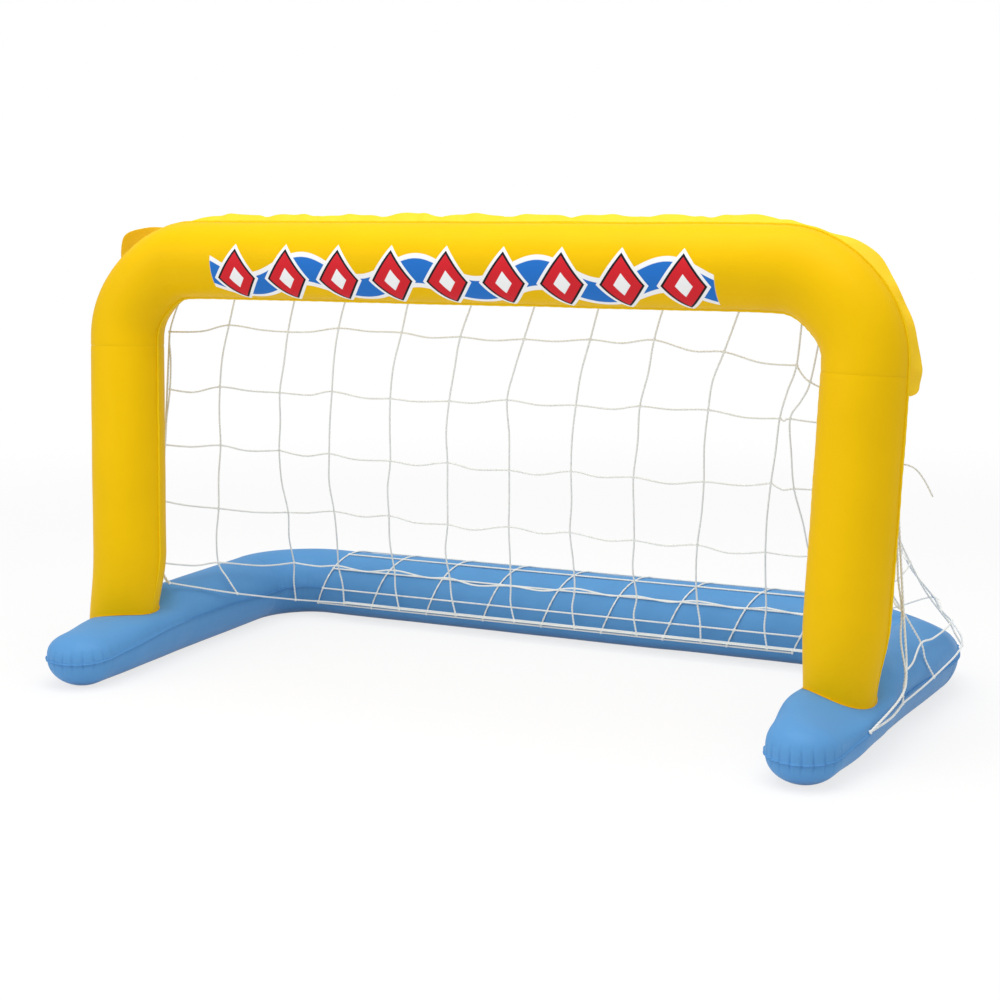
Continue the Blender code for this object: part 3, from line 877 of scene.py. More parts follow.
def arm_section(sign, y):
    """An arm's section at a depth from the arch's line, pressed flatter from the post to its nose."""
    pressed = 1 - ease(*POST_PRESS, y)
    under_post = 1 - ease(*POST_PRESS, abs(y))
    at_nose = 1 - ease(*NOSE_FALL, y)
    lift = SEAM_LIFT * (1 - ease(*WELD_RUN, y))
    seam = TUBE_Z + lift - (NOSE_DROP[sign] + lift) * (1 - ease(*SEAM_RUN, y))
    top = TUBE_Z + TUBE_RADIUS - POST_DENT * pressed - NOSE_DENT * at_nose
    half = TUBE_RADIUS + POST_SWELL * under_post - NOSE_SLIM[sign] * at_nose
    return Section(half, seam, top, 1 - POST_BOX * pressed + NOSE_ROUND * at_nose)


def top_tilt(sign, y, across, up):
    """How far an arm's upper film leans down by the post, at shares across to +X and up."""
    place, width = TOP_TILT_PLACE
    return TOP_TILT[sign] * hump(y - place, width) * 2 * sign * across * up


def arm_surface(sign, y, angle):
    """A point of an arm's upper film, at an angle up from its +X side."""
    section = arm_section(sign, y)
    rise = (section.top - section.seam) * math.sin(angle) ** section.power
    rise -= top_tilt(sign, y, math.cos(angle), math.sin(angle))
    return ORIGIN + Vector((sign * arm_x(y) + section.half * math.cos(angle), y, section.seam + rise))


def arm_angle(sign, point):
    """The angle up from the arm's +X side at which its upper film passes under a point."""
    y = point.y - ARCH_Y
    across = (point.x - sign * arm_x(y)) / arm_section(sign, y).half
    return math.acos(max(-0.985, min(0.985, across)))


def post_film(name, sign, front, settings, skin, weld_run, seats):
    """A post's front or rear film, from its cross weld down to the flange welded on the arm."""
    radius, lip = ARCH_RADIUS - ARCH_SLIM, settings.lip
    top = CROSS_WELD_HEIGHT
    steps = settings.post_steps
    face = -1 if front else 1
    up_post = ARCH_UP + Vector((sign * (ARCH_HALF_TOP - ARCH_HALF_FOOT) / ARCH_HEIGHT, 0, 0))
    out = ARCH_BACK.cross(up_post).normalized() * sign

    def place(kind, value, height):
        """Where a row of half_order passes a height up the post."""
        narrowing = 1 - ease(*FOOT_GATHER, height)
        centre = arch_point(sign * (arch_half(height) - ARCH_SLIM), height)
        centre.x += (sign * (arm_x(0) + FOOT_SHIFT[sign]) - centre.x) * narrowing
        angle = row_angle(kind, value)
        rise, shift = skin(sign * (weld_run + top - height), angle, front)
        reach = radius + (FOOT_HALF[sign] - radius) * narrowing + rise
        depth = SEAM + settings.thickness
        if kind == "arc":
            depth = max(depth, reach * math.sin(angle))
        else:
            reach += lip * value * (1 - narrowing)
        return centre + out * (reach * math.cos(angle)) + ARCH_BACK * (face * depth + shift)

    def foot_height(kind, value):
        """The height at which a row meets the arm, by halving."""
        low, high = FOOT_SEARCH
        for _ in range(FOOT_SEARCH_STEPS):
            middle = (low + high) / 2
            point = place(kind, value, middle)
            if point.z < arm_surface(sign, point.y - ARCH_Y, arm_angle(sign, point)).z + FOOT_CLEAR:
                low = middle
            else:
                high = middle
        return high

    rows, around = [], []
    for kind, value in half_order(radius, settings.thickness, settings.arc_steps):
        low = foot_height(kind, value)
        foot = place(kind, value, low)
        away = foot - arch_point(sign * arm_x(0), low)
        away.z = 0
        away.normalize()
        tip_angle = arm_angle(sign, foot) - FOOT_FLANGE * away.x / TUBE_RADIUS
        tip = arm_surface(sign, foot.y - ARCH_Y + FOOT_FLANGE * away.y, tip_angle)
        climb = [place(kind, value, low + (top - low) * k / steps) for k in range(steps + 1)]
        rows.append([tip + WORLD_Z * FOOT_FLANGE_LIFT] + climb)
        around.append(way_round(kind, value, radius, lip))
    runs = [-FOOT_FLANGE] + [(top - FOOT_HEIGHT) * k / steps for k in range(steps + 1)]
    if sign > 0:
        rows = [list(reversed(row)) for row in rows]
        runs = [-run for run in reversed(runs)]
    if front:
        rows.reverse()
        around.reverse()
    return lay_film(name, rows, (around, runs), settings.thickness, seats)


def base_skin(settings, weld_run, corner_run):
    """The rear tube's swells, puckers and folds, its pinched outer corners and its slack right one."""

    def skin(run, angle, lower):
        inner = TUBE_RADIUS * angle
        outer = TUBE_RADIUS * (math.pi - angle)
        near = min(outer, inner)
        seed = 11.0 if outer < inner else 15.0
        off_corner = abs(run) - corner_run
        rise = swell(settings, BASE_SWELL, run, angle, 22.0 if lower else 29.0)
        rise += pucker(settings, BASE_PUCKER, run, seed, near)
        pleat = 0.5 + 0.5 * math.cos(2 * math.pi * off_corner / EAR_PLEAT_PITCH)
        ear = hump(off_corner, EAR_SPAN) * hump(outer, EAR_REACH)
        rise += settings.dog_ear * ear * (1 - EAR_PLEAT * pleat)
        rise -= BASE_FOLD_DEPTH * fold(BASE_FOLD, run, off_corner, inner)
        if run > 0 and not lower:
            rise -= CORNER_SLUMP * hump(off_corner, CORNER_SLUMP_SPAN) * math.sin(angle)
        rise -= BASE_WELD_GROOVE * hump(abs(run) - weld_run, BASE_WELD_WIDTH)
        return rise, seam_wave(settings, run, seed, near)

    return skin


def arm_film(name, sign, lower, settings, weld_y, seats):
    """An arm's upper or lower film: columns along its -X side, round the nose and back."""
    radius, lip = TUBE_RADIUS, settings.lip
    along = Vector((sign * ARM_SPLAY, 1, 0)).normalized()
    right = Vector((along.y, -along.x, 0))
    nose = ORIGIN + Vector((sign * arm_x(NOSE_Y), NOSE_Y, TUBE_Z))
    length = (weld_y - NOSE_Y) / along.y - TOUCH
    straight = [length * (1 - k / settings.arm_steps) for k in range(settings.arm_steps)]
    columns = [(-radius * math.pi / 2 - reach, nose + along * reach, -right, reach) for reach in straight]
    for k in range(settings.nose_steps + 1):
        turn = math.pi * k / settings.nose_steps
        side = -right * math.cos(turn) - along * math.sin(turn)
        columns.append((radius * (turn - math.pi / 2), nose, side, 0.0))
    columns += [(radius * math.pi / 2 + reach, nose + along * reach, right, reach)
                for reach in reversed(straight)]
    if lower:
        columns.reverse()
    start = math.asin((SEAM + settings.thickness) / radius)
    steps = settings.arc_steps // 2
    order = [("lip", 1.0), ("lip", 0.5)]
    order += [("arc", start + (math.pi / 2 - start) * (k / steps) ** ARC_CROWDING)
              for k in range(steps + 1)]
    face = -1 if lower else 1
    rows, around = [], []
    for kind, value in order:
        angle = value if kind == "arc" else 0.0
        extra = lip * value if kind == "lip" else 0.0
        up = radius * angle
        flatness = math.cos(angle) ** 0.5 if angle < math.pi / 2 - 0.01 else 0.0
        row = []
        for run, at, side, reach in columns:
            rise = swell(settings, ARM_SWELL, run, angle, 31.0 + sign) * flatness
            rise += pucker(settings, ARM_PUCKER, run, sign, up)
            tip = 1 - ease(*PLEAT_RUN, abs(run) / radius)
            crease = 0.5 + 0.5 * math.cos(2 * math.pi * run / settings.pleat_pitch + 0.5 * sign)
            rise -= settings.pleat * tip * crease ** PLEAT_SHARPNESS * hump(up, PLEAT_REACH)
            rise -= BASE_WELD_GROOVE * hump(reach - length, BASE_WELD_WIDTH)
            shift = seam_wave(settings, run, 35.0 + sign, up) * flatness
            y = (at + side * (radius * math.cos(angle))).y - ARCH_Y
            section = arm_section(sign, y)
            place = at + side * ((section.half + rise) * math.cos(angle) + extra)
            if kind == "lip":
                place.z = section.seam + face * (SEAM + settings.thickness) + shift
            elif lower:
                drop = (section.seam + FLOOR_FLAT + rise) * math.sin(angle)
                place.z = max(0.0, section.seam - drop + shift)
            else:
                bulge = (section.top - section.seam + rise) * math.sin(angle) ** section.power
                bulge -= top_tilt(sign, y, side.dot(right) * math.cos(angle), math.sin(angle))
                place.z = section.seam + bulge + shift
            row.append(place)
        rows.append(row)
        around.append(up if kind == "arc" else -extra)
    return lay_film(name, rows, (around, [column[0] for column in columns]), settings.thickness, seats)


def cut_hole(piece, place, radius):
    """Cut a round hole through a film at a valve."""
    cutter = added(bpy.ops.mesh.primitive_cylinder_add, "hole", vertices=48, radius=radius, depth=0.05)
    cutter.matrix_world = place
    apply_modifier(piece, "BOOLEAN", operation="DIFFERENCE", solver="EXACT", object=cutter)
    bpy.data.objects.remove(cutter)


def valve_place(name):
    """The valve's frame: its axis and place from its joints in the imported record."""
    joints = {joint["name"]: joint for joint in frame["record"]["behaviour"]["joints"]}
    outward = Vector(joints[f"{name}_valve_push"]["axis"]).normalized()
    up = Vector(joints[f"{name}_plug_hinge"]["axis"]).normalized()
    across = up.cross(outward).normalized()
    hinge = Vector(joints[f"{name}_plug_hinge"]["pos_m"])
    seat = hinge - across * STRAP_HINGE - outward * (STEM_OUT + TOUCH + PLUG_CAP / 2)
    turn = Matrix((across, up, outward)).transposed().to_4x4()
    return Matrix.Translation(seat) @ turn


def press_flat(rows, place):
    """Draw a film's points to the flat seat of a valve's flange, easing out round it."""
    to_valve = place.inverted()
    for row in rows:
        for k, point in enumerate(row):
            local = to_valve @ point
            share = 1 - ease(*SEAT_EASE, math.hypot(local.x, local.y) / VALVE_FLANGE_RADIUS)
            if share > 0 and abs(local.z) < VALVE_FLANGE_RADIUS:
                local.z *= 1 - share
                row[k] = place @ local


# Hem

def start_of_corner(weld_run):
    """The run of a corner's middle, from the run of the cross weld past it."""
    return weld_run - (ARCH_HEIGHT - ARCH_CORNER - CROSS_WELD_HEIGHT) - ARCH_CORNER * math.pi / 4


def hem_film(name, settings):
    """The film strip that carries the net: scalloped between the columns, gathered and rippled."""
    steps = settings.height_steps
    path = crossbar_path()
    (first, come), (last, leave) = path[0], path[-1]
    path = [(first - come * HEM_TAIL, come)] + path[1:-1] + [(last + leave * HEM_TAIL, leave)]
    stations = spaced(path, settings.spacing)
    start = stations[0].run + HEM_TAIL
    corner_run = start_of_corner(stations[-1].run - HEM_TAIL)
    thickness = settings.thickness
    rows, around = [], []
    for j in range(steps + 1):
        share = j / steps
        row = []
        for station in stations:
            gone = station.run - start
            out = station.along.cross(ARCH_BACK)
            angle = HEM_ANGLE - HEM_LEAN * hump(station.run - HEM_LEAN_RUN, HEM_LEAN_SPAN) * share * share
            radial = out * math.cos(angle) + ARCH_BACK * math.sin(angle)
            flank = radial.cross(station.along)
            bay = math.floor(gone / MESH)
            puff = 0.75 + 0.6 * noise.noise(Vector((bay * 3.7, 5.0, 2.0)))
            puff *= 1 - ease(*HEM_PUFF_END, abs(station.run))
            scallop = settings.puff * puff * abs(math.sin(math.pi * gone / MESH))
            fray = 0.5 * settings.ripple * noise.noise(Vector((gone / HEM_FRAY, 3.0, 1.0)))
            cut = corner_cut(abs(station.run) - corner_run) * math.cos(HEM_ANGLE)
            root = ARCH_RADIUS - HEM_DRAWN_IN - cut + TOUCH
            end = 1 - min(1.0, (stations[-1].run - abs(station.run)) / HEM_ROUND)
            tall = (between(HEM_STAND, station.run) + scallop + fray) * math.sqrt(1.02 - end * end)
            tall += HEM_DRAWN_IN
            sway = 4 * noise.noise(Vector((gone / HEM_GATHER_DRIFT, 6.0, 2.0)))
            gather = math.sin(2 * math.pi * gone / HEM_GATHER_PITCH + sway)
            gather += 0.4 * noise.noise(Vector((gone / HEM_CRINKLE, 9.0, 4.0)))
            wave = settings.ripple * gather * ease(*HEM_LOOSE, share)
            wave = max(-HEM_SLOT / 2 + thickness, min(HEM_SLOT / 2 - thickness, wave))
            row.append(station.at + radial * (root + tall * share) + flank * (wave + thickness / 2))
        rows.append(row)
        around.append(HEM_HEIGHT * share)
    rows.reverse()
    around.reverse()
    return lay_film(name, rows, (around, [station.run for station in stations]), thickness)


# Net

def hung_knots(settings):
    """Every knot's place: the even rows, drifted along the hem, slack at the right and strayed a little."""
    draw = random.Random(settings.seed)
    knots = {}
    for column in range(NET_COLUMNS + 1):
        drift = settings.drift if column < NET_COLUMNS else 0.0
        for row in range(LAST_ROW + 1):
            free = 2 <= row < LAST_ROW
            stray = settings.stray if free else 0.0
            off = Vector((draw.uniform(-1, 1), 0.4 * draw.uniform(-1, 1), draw.uniform(-1, 1))) * stray
            if row < 2:
                knots[column, row] = hem_point(column + drift / MESH, row)
                continue
            if row == 2 and 0 < column < NET_COLUMNS:
                off.x += drift * 0.3
                off.z -= settings.sink * max(0, column + 1.5 - REAR_LAST)
            if free and REAR_LAST < column < NET_COLUMNS:
                share = HANG_SHARES[row - 1]
                off.x -= settings.slack * 4 * share * (1 - share)
            knots[column, row] = net_point(column, row) + off
    return knots


def hem_point(column, row):
    """A place of the net along the hem, in its slot or on the crossbar's back."""
    if row == 0:
        return head_point(column)
    return arch_hook(column, ARCH_RADIUS + BACK_CLEAR, BACK_ANGLE)


def row_route(knots, row, first, last, settings):
    """One row's strand from column to column, drooping a little between its knots."""
    draw = random.Random(settings.seed + 100 * row + first)
    route = [knots[first, row]]
    for column in range(first, last):
        here, there = knots[column, row], knots[column + 1, row]
        if row < 2:
            drift = settings.drift / MESH
            if column + 1 == NET_COLUMNS:
                drift /= 2
            route.append(hem_point(column + 0.5 + drift, row))
        elif row < LAST_ROW:
            droop = draw.uniform(0.2, 1.0) * settings.droop
            route.append(here.lerp(there, draw.uniform(0.42, 0.58)) - WORLD_Z * droop)
        route.append(there)
    return route


def net_piece(name, first, last, keep_left, keep_right, knots, settings):
    """One panel's strands and knots; a shared edge column is drawn by its neighbour."""
    work = TwineWork(settings.twine, settings.lay)
    columns = [c for c in range(first, last + 1) if (c > first or keep_left) and (c < last or keep_right)]
    for row in range(LAST_ROW + 1):
        if row == LAST_ROW and first < ARM_FIRST <= last:
            spans = [(first, ARM_FIRST - 1), (ARM_FIRST, last)]
        else:
            spans = [(first, last)]
        for low, high in spans:
            work.strand(fine_route(row_route(knots, row, low, high, settings)))
    for column in columns:
        draw = random.Random(settings.seed + 7 * column)
        route = [knots[column, 0], knots[column, 1]]
        for row in range(2, LAST_ROW + 1):
            bow = Vector((draw.uniform(-1, 0.4), 0.3 * draw.uniform(-1, 1), 0)) * settings.bow
            route.append(knots[column, row - 1].lerp(knots[column, row], 0.5) + bow)
            route.append(knots[column, row])
        work.strand(fine_route(route))
        for row in range(LAST_ROW + 1):
            beside = knots[min(column + 1, NET_COLUMNS), row] - knots[max(column - 1, 0), row]
            above = knots[column, max(row - 1, 0)] - knots[column, min(row + 1, LAST_ROW)]
            work.knot(knots[column, row], beside.normalized(), above.normalized(), settings.knot)
    return work.finish(name)


def wrap_point(column, degrees):
    """A point of the net's wrapped end, on the rear tube, skewed half a mesh to each row."""
    rows = len(WRAP_ANGLES) - 1
    for row, (low, high) in enumerate(zip(WRAP_ANGLES, WRAP_ANGLES[1:])):
        if degrees <= high:
            break
    share = (row + (degrees - low) / (high - low)) / rows
    pitch = 2 * REAR_HALF / (WRAP_MESHES + 1)
    angle = math.radians(degrees)
    reach = TUBE_RADIUS + TWINE_SEAT / 2 + TOUCH
    return ORIGIN + Vector((-REAR_HALF + pitch * (share + column), REAR_Y - reach * math.cos(angle),
                            TUBE_Z + reach * math.sin(angle)))


def wrap_piece(name, settings):
    work = TwineWork(settings.twine, settings.lay)
    span = WRAP_ANGLES[-1] - WRAP_ANGLES[0]
    steps = 72
    for column in range(WRAP_MESHES + 1):
        work.strand([wrap_point(column, WRAP_ANGLES[0] + span * k / steps) for k in range(steps + 1)])
    for degrees in WRAP_ANGLES:
        work.strand(fine_route([wrap_point(column / 2, degrees) for column in range(2 * WRAP_MESHES + 1)]))
        for column in range(WRAP_MESHES + 1):
            at = wrap_point(column, degrees)
            up = Vector((0, math.sin(math.radians(degrees)), math.cos(math.radians(degrees))))
            work.knot(at, Vector((1, 0, 0)), up, settings.knot * WRAP_KNOT)
    return work.finish(name)


def cord_piece(name, route, settings, diameter=None, lacing=None):
    """A cord along its route, and the stretch that laces it back to the net from its end."""
    work = TwineWork(diameter or settings.cord, settings.lay * CORD_LAY, lobe=0.12)
    work.strand(route)
    if lacing:
        knot, back = lacing
        bulge = (back - knot).normalized().cross(WORLD_Z) * LACING_BULGE
        work.strand(fine_route([knot, knot.lerp(back, 0.5) + bulge, back]))
        work.knot(knot, (back - knot).normalized(), WORLD_Z, settings.knot * 1.2)
    return work.finish(name)


# Valves

def turned_piece(name, profile, place):
    """A piece turned round the valve's axis from a closed profile of (radius, height)."""
    piece = added(bpy.ops.mesh.primitive_circle_add, name, vertices=len(profile), fill_type="NOTHING")
    for vertex, (radius, height) in zip(piece.data.vertices, profile):
        vertex.co = (radius, 0, height)
    bpy.ops.object.mode_set(mode="EDIT")
    bpy.ops.mesh.select_all(action="SELECT")
    bpy.ops.mesh.spin(steps=56, angle=2 * math.pi, center=(0, 0, 0), axis=(0, 0, 1))
    bpy.ops.mesh.select_all(action="SELECT")
    bpy.ops.mesh.remove_doubles(threshold=0.00001)
    bpy.ops.mesh.normals_make_consistent(inside=False)
    bpy.ops.object.mode_set(mode="OBJECT")
    piece.data.transform(place)
    return piece


def join_strap(piece, place, low, high):
    """Join a rounded strap that reaches from a turned piece's wall out to the plug's hinge."""
    root = (STEM_RADIUS + STEM_BORE) / 2
    strap = added(bpy.ops.mesh.primitive_cube_add, "strap", size=1)
    size = Matrix.Diagonal((STRAP_HINGE - root, STRAP_WIDTH, high - low, 1))
    strap.data.transform(Matrix.Translation(((root + STRAP_HINGE) / 2, 0, (low + high) / 2)) @ size)
    apply_modifier(strap, "BEVEL", width=(high - low) * 0.25, segments=3)
    strap.data.transform(place)
    apply_modifier(piece, "BOOLEAN", operation="UNION", solver="EXACT", object=strap)
    bpy.data.objects.remove(strap)


def valve_pieces(name, place):
    """Flange, stem, flap and plug of one valve, at the place of its frame."""
    bore = STEM_RADIUS + STEM_RUN
    top = TOUCH + VALVE_FLANGE
    edge = VALVE_FLANGE_RADIUS
    flange = turned_piece(f"{name}_flange", [
        (bore, TOUCH), (edge, TOUCH), (edge, TOUCH + 0.0004), (edge - 0.0012, top - 0.0003),
        (edge - 0.0040, top - 0.0003), (edge - 0.0046, top), (edge - 0.0054, top - 0.0003),
        (bore + 0.0018, top - 0.0002), (bore + 0.0010, top + 0.0001), (bore, top)], place)
    low = STEM_OUT - STEM_LENGTH
    stem = turned_piece(f"{name}_stem", [
        (STEM_BORE, low), (STEM_RADIUS - 0.0003, low), (STEM_RADIUS, low + 0.0004),
        (STEM_RADIUS, STEM_OUT - 0.0022), (STEM_RADIUS - 0.0004, STEM_OUT - 0.0019),
        (STEM_RADIUS - 0.0004, STEM_OUT - 0.0014), (STEM_RADIUS, STEM_OUT - 0.0011),
        (STEM_RADIUS, STEM_OUT - 0.0003), (STEM_RADIUS - 0.0003, STEM_OUT),
        (STEM_BORE + 0.0002, STEM_OUT), (STEM_BORE, STEM_OUT - 0.0002)], place)
    join_strap(stem, place, STEM_OUT - STEM_STRAP, STEM_OUT)
    flap_top = low - TOUCH
    flap = turned_piece(f"{name}_flap", [
        (0, flap_top - FLAP), (STEM_RADIUS - 0.0003, flap_top - FLAP),
        (STEM_RADIUS, flap_top - FLAP + 0.0003), (STEM_RADIUS, flap_top), (STEM_BORE - 0.0006, flap_top), (STEM_BORE - 0.0009, flap_top - 0.0002),
        (0, flap_top - 0.0002)], place)
    cap = STEM_OUT + TOUCH
    tongue = STEM_BORE - PLUG_RUN
    plug = turned_piece(f"{name}_plug", [
        (0, STEM_OUT - PLUG_DEPTH), (tongue - PLUG_TAPER - 0.0004, STEM_OUT - PLUG_DEPTH),
        (tongue - PLUG_TAPER, STEM_OUT - PLUG_DEPTH + 0.0004), (tongue, STEM_OUT - PLUG_DEPTH / 4),
        (tongue, cap), (STEM_RADIUS - 0.0002, cap), (STEM_RADIUS, cap + 0.0003),
        (STEM_RADIUS, cap + PLUG_CAP - 0.0005), (STEM_RADIUS - 0.0005, cap + PLUG_CAP),
        (STEM_BORE, cap + PLUG_CAP), (STEM_BORE - 0.0005, cap + PLUG_CAP - 0.0004),
        (0, cap + PLUG_CAP - 0.0005)], place)
    join_strap(plug, place, cap, cap + PLUG_CAP)
    return {"flange": flange, "stem": stem, "flap": flap, "plug": plug}


# Settings a user would change

def size_property(name, description, default, low=0.0, high=0.1):
    return FloatProperty(name=name, description=description, default=default, min=low, max=high,
                         subtype="DISTANCE", unit="LENGTH", precision=5)


def colour_property(name, description, default):
    return FloatVectorProperty(name=name, description=description, default=default, size=3, min=0, max=1,
                               subtype="COLOR")


class ArchFilmSettings(bpy.types.PropertyGroup):
    """Sizes and colours of the arch's film."""

    thickness: size_property("Thickness", "Film thickness", 0.0005)
    lip: size_property("Lip", "Width of the welded lip at each seam", 0.0028)
    waviness: size_property("Waviness", "How far the film strays from a true tube", 0.0009)
    pucker: size_property("Pucker", "Depth of the puckers along a seam", 0.00018)
    corner_fold: size_property("Corner fold", "Depth of the folds inside the corners", 0.0005)
    spacing: size_property("Spacing", "Length of one step of the film's mesh along the tube", 0.0045)
    arc_steps: IntProperty(name="Arc steps", description="Mesh steps round half a tube", default=44, min=8)
    post_steps: IntProperty(name="Post steps", description="Mesh steps up a post", default=104, min=8)
    colour: colour_property("Colour", "Film colour", (0.81, 0.495, 0.001))
    # Paler than the film: the doubled film's colour lifted as painted light against the shade on the arch's
    # edge-on lips.
    lip_colour_and_painted_light: colour_property("Lip colour", "Colour of the doubled film", (0.90, 0.66, 0.012))
    roughness: FloatProperty(name="Roughness", description="Film roughness", default=0.45, min=0, max=1)
    gloss: FloatProperty(name="Gloss", description="Weight of the glossy coat", default=0.01, min=0, max=1)


class BaseFilmSettings(bpy.types.PropertyGroup):
    """Sizes and colours of the base's film."""

    thickness: size_property("Thickness", "Film thickness", 0.0005)
    lip: size_property("Lip", "Width of the welded lip at each seam", 0.0026)
    waviness: size_property("Waviness", "How far the film strays from a true tube", 0.0009)
    pucker: size_property("Pucker", "Depth of the puckers along a seam", 0.00020)
    dog_ear: size_property("Dog ear", "How far the pinched outer corners stand out", 0.016)
    pleat: size_property("Pleat", "Depth of the pleats round the noses", 0.0020)
    pleat_pitch: size_property("Pleat pitch", "Spacing of the pleats round the noses", 0.0185)
    spacing: size_property("Spacing", "Length of one step of the film's mesh along the tube", 0.0045)
    arc_steps: IntProperty(name="Arc steps", description="Mesh steps round half a tube", default=44, min=8)
    arm_steps: IntProperty(name="Arm steps", description="Mesh steps along an arm", default=110, min=8)
    nose_steps: IntProperty(name="Nose steps", description="Mesh steps round a nose", default=120, min=8)
    colour: colour_property("Colour", "Film colour", (0.105, 0.305, 0.61))
    lip_colour_and_painted_light: colour_property("Lip colour", "Colour of the doubled film", (0.105, 0.30, 0.60))
    roughness: FloatProperty(name="Roughness", description="Film roughness", default=0.42, min=0, max=1)
    gloss: FloatProperty(name="Gloss", description="Weight of the glossy coat", default=0.06, min=0, max=1)


class HemSettings(bpy.types.PropertyGroup):
    """Sizes and colours of the hem."""

    thickness: size_property("Thickness", "Doubled film thickness", 0.0010)
    puff: size_property("Puff", "How far a scallop stands up between two columns", 0.0085)
    ripple: size_property("Ripple", "How far the strip waves from flat", 0.0013)
    spacing: size_property("Spacing", "Length of one step of the strip's mesh", 0.003)
    height_steps: IntProperty(name="Height steps", description="Mesh steps across the strip",
                              default=8, min=2)
    colour: colour_property("Colour", "Film colour", (0.90, 0.62, 0.030))
    lip_colour_and_painted_light: colour_property("Lip colour", "Colour of the doubled film", (0.90, 0.60, 0.020))
    roughness: FloatProperty(name="Roughness", description="Film roughness", default=0.45, min=0, max=1)
    gloss: FloatProperty(name="Gloss", description="Weight of the glossy coat", default=0.05, min=0, max=1)


class NetSettings(bpy.types.PropertyGroup):
    """Sizes and colours of the net and its cords."""

    twine: size_property("Twine", "Diameter of the net's twine", 0.0034)
    cord: size_property("Cord", "Diameter of the border cords", 0.0038)
    drift: size_property("Drift", "How far the columns lie to the right along the hem", 0.042)
    sink: size_property("Sink", "How far the top free row sinks from column to column at the right", 0.018)
    slack: size_property("Slack", "How far the right side's free knots hang in behind the post", 0.055)
    lay: size_property("Lay", "Length of one full twist of the twine", 0.011)
    knot: size_property("Knot", "Half width of a knot", 0.0034)
    stray: size_property("Stray", "How far a knot strays from its even place", 0.0050)
    droop: size_property("Droop", "How far a row droops between two knots", 0.008)
    bow: size_property("Bow", "How far a column bows between two knots", 0.006)
    seed: IntProperty(name="Seed", description="Which random hang the net takes", default=11)
    colour: colour_property("Colour", "Twine colour", (0.90, 0.93, 0.91))


class PrintSettings(bpy.types.PropertyGroup):
    """Place and colours of the generic print on the crossbar."""

    left: FloatProperty(name="Left", description="Left end of the print", default=-0.43, subtype="DISTANCE")
    right: FloatProperty(name="Right", description="Right end of the print", default=0.43, subtype="DISTANCE")
    middle: size_property("Middle", "Distance of the print's middle from the upper seam", 0.128, 0, 1)
    height: size_property("Height", "Height of the print round the tube", 0.112, 0, 1)
    wave: size_property("Wave", "Length of one wave", 0.205, 0.01, 1)
    lozenges: IntProperty(name="Lozenges", description="How many lozenges the print has", default=9, min=1)
    red: colour_property("Red", "Lozenge colour", (0.62, 0.02, 0.03))
    blue: colour_property("Blue", "Wave colour", (0.02, 0.16, 0.55))
    black: colour_property("Black", "Outline colour", (0.012, 0.012, 0.016))
    white: colour_property("White", "Edge colour", (0.86, 0.87, 0.88))


class ValveSettings(bpy.types.PropertyGroup):
    """Look of the air valves."""

    colour: colour_property("Colour", "Vinyl colour", (0.80, 0.88, 0.93))


class StageSettings(bpy.types.PropertyGroup):
    """Floor, backdrop and lamps."""

    floor: colour_property("Floor", "Floor colour", (0.86, 0.86, 0.86))
    key: FloatProperty(name="Key", description="Power of the lamp overhead", default=84.0, min=0)
    fill: FloatProperty(name="Fill", description="Power of the lamp in front", default=30.0, min=0)
    world: FloatProperty(name="World", description="Strength of the light from all round",
                         default=0.58, min=0)


# Operators, one for each group of pieces and one for the stage

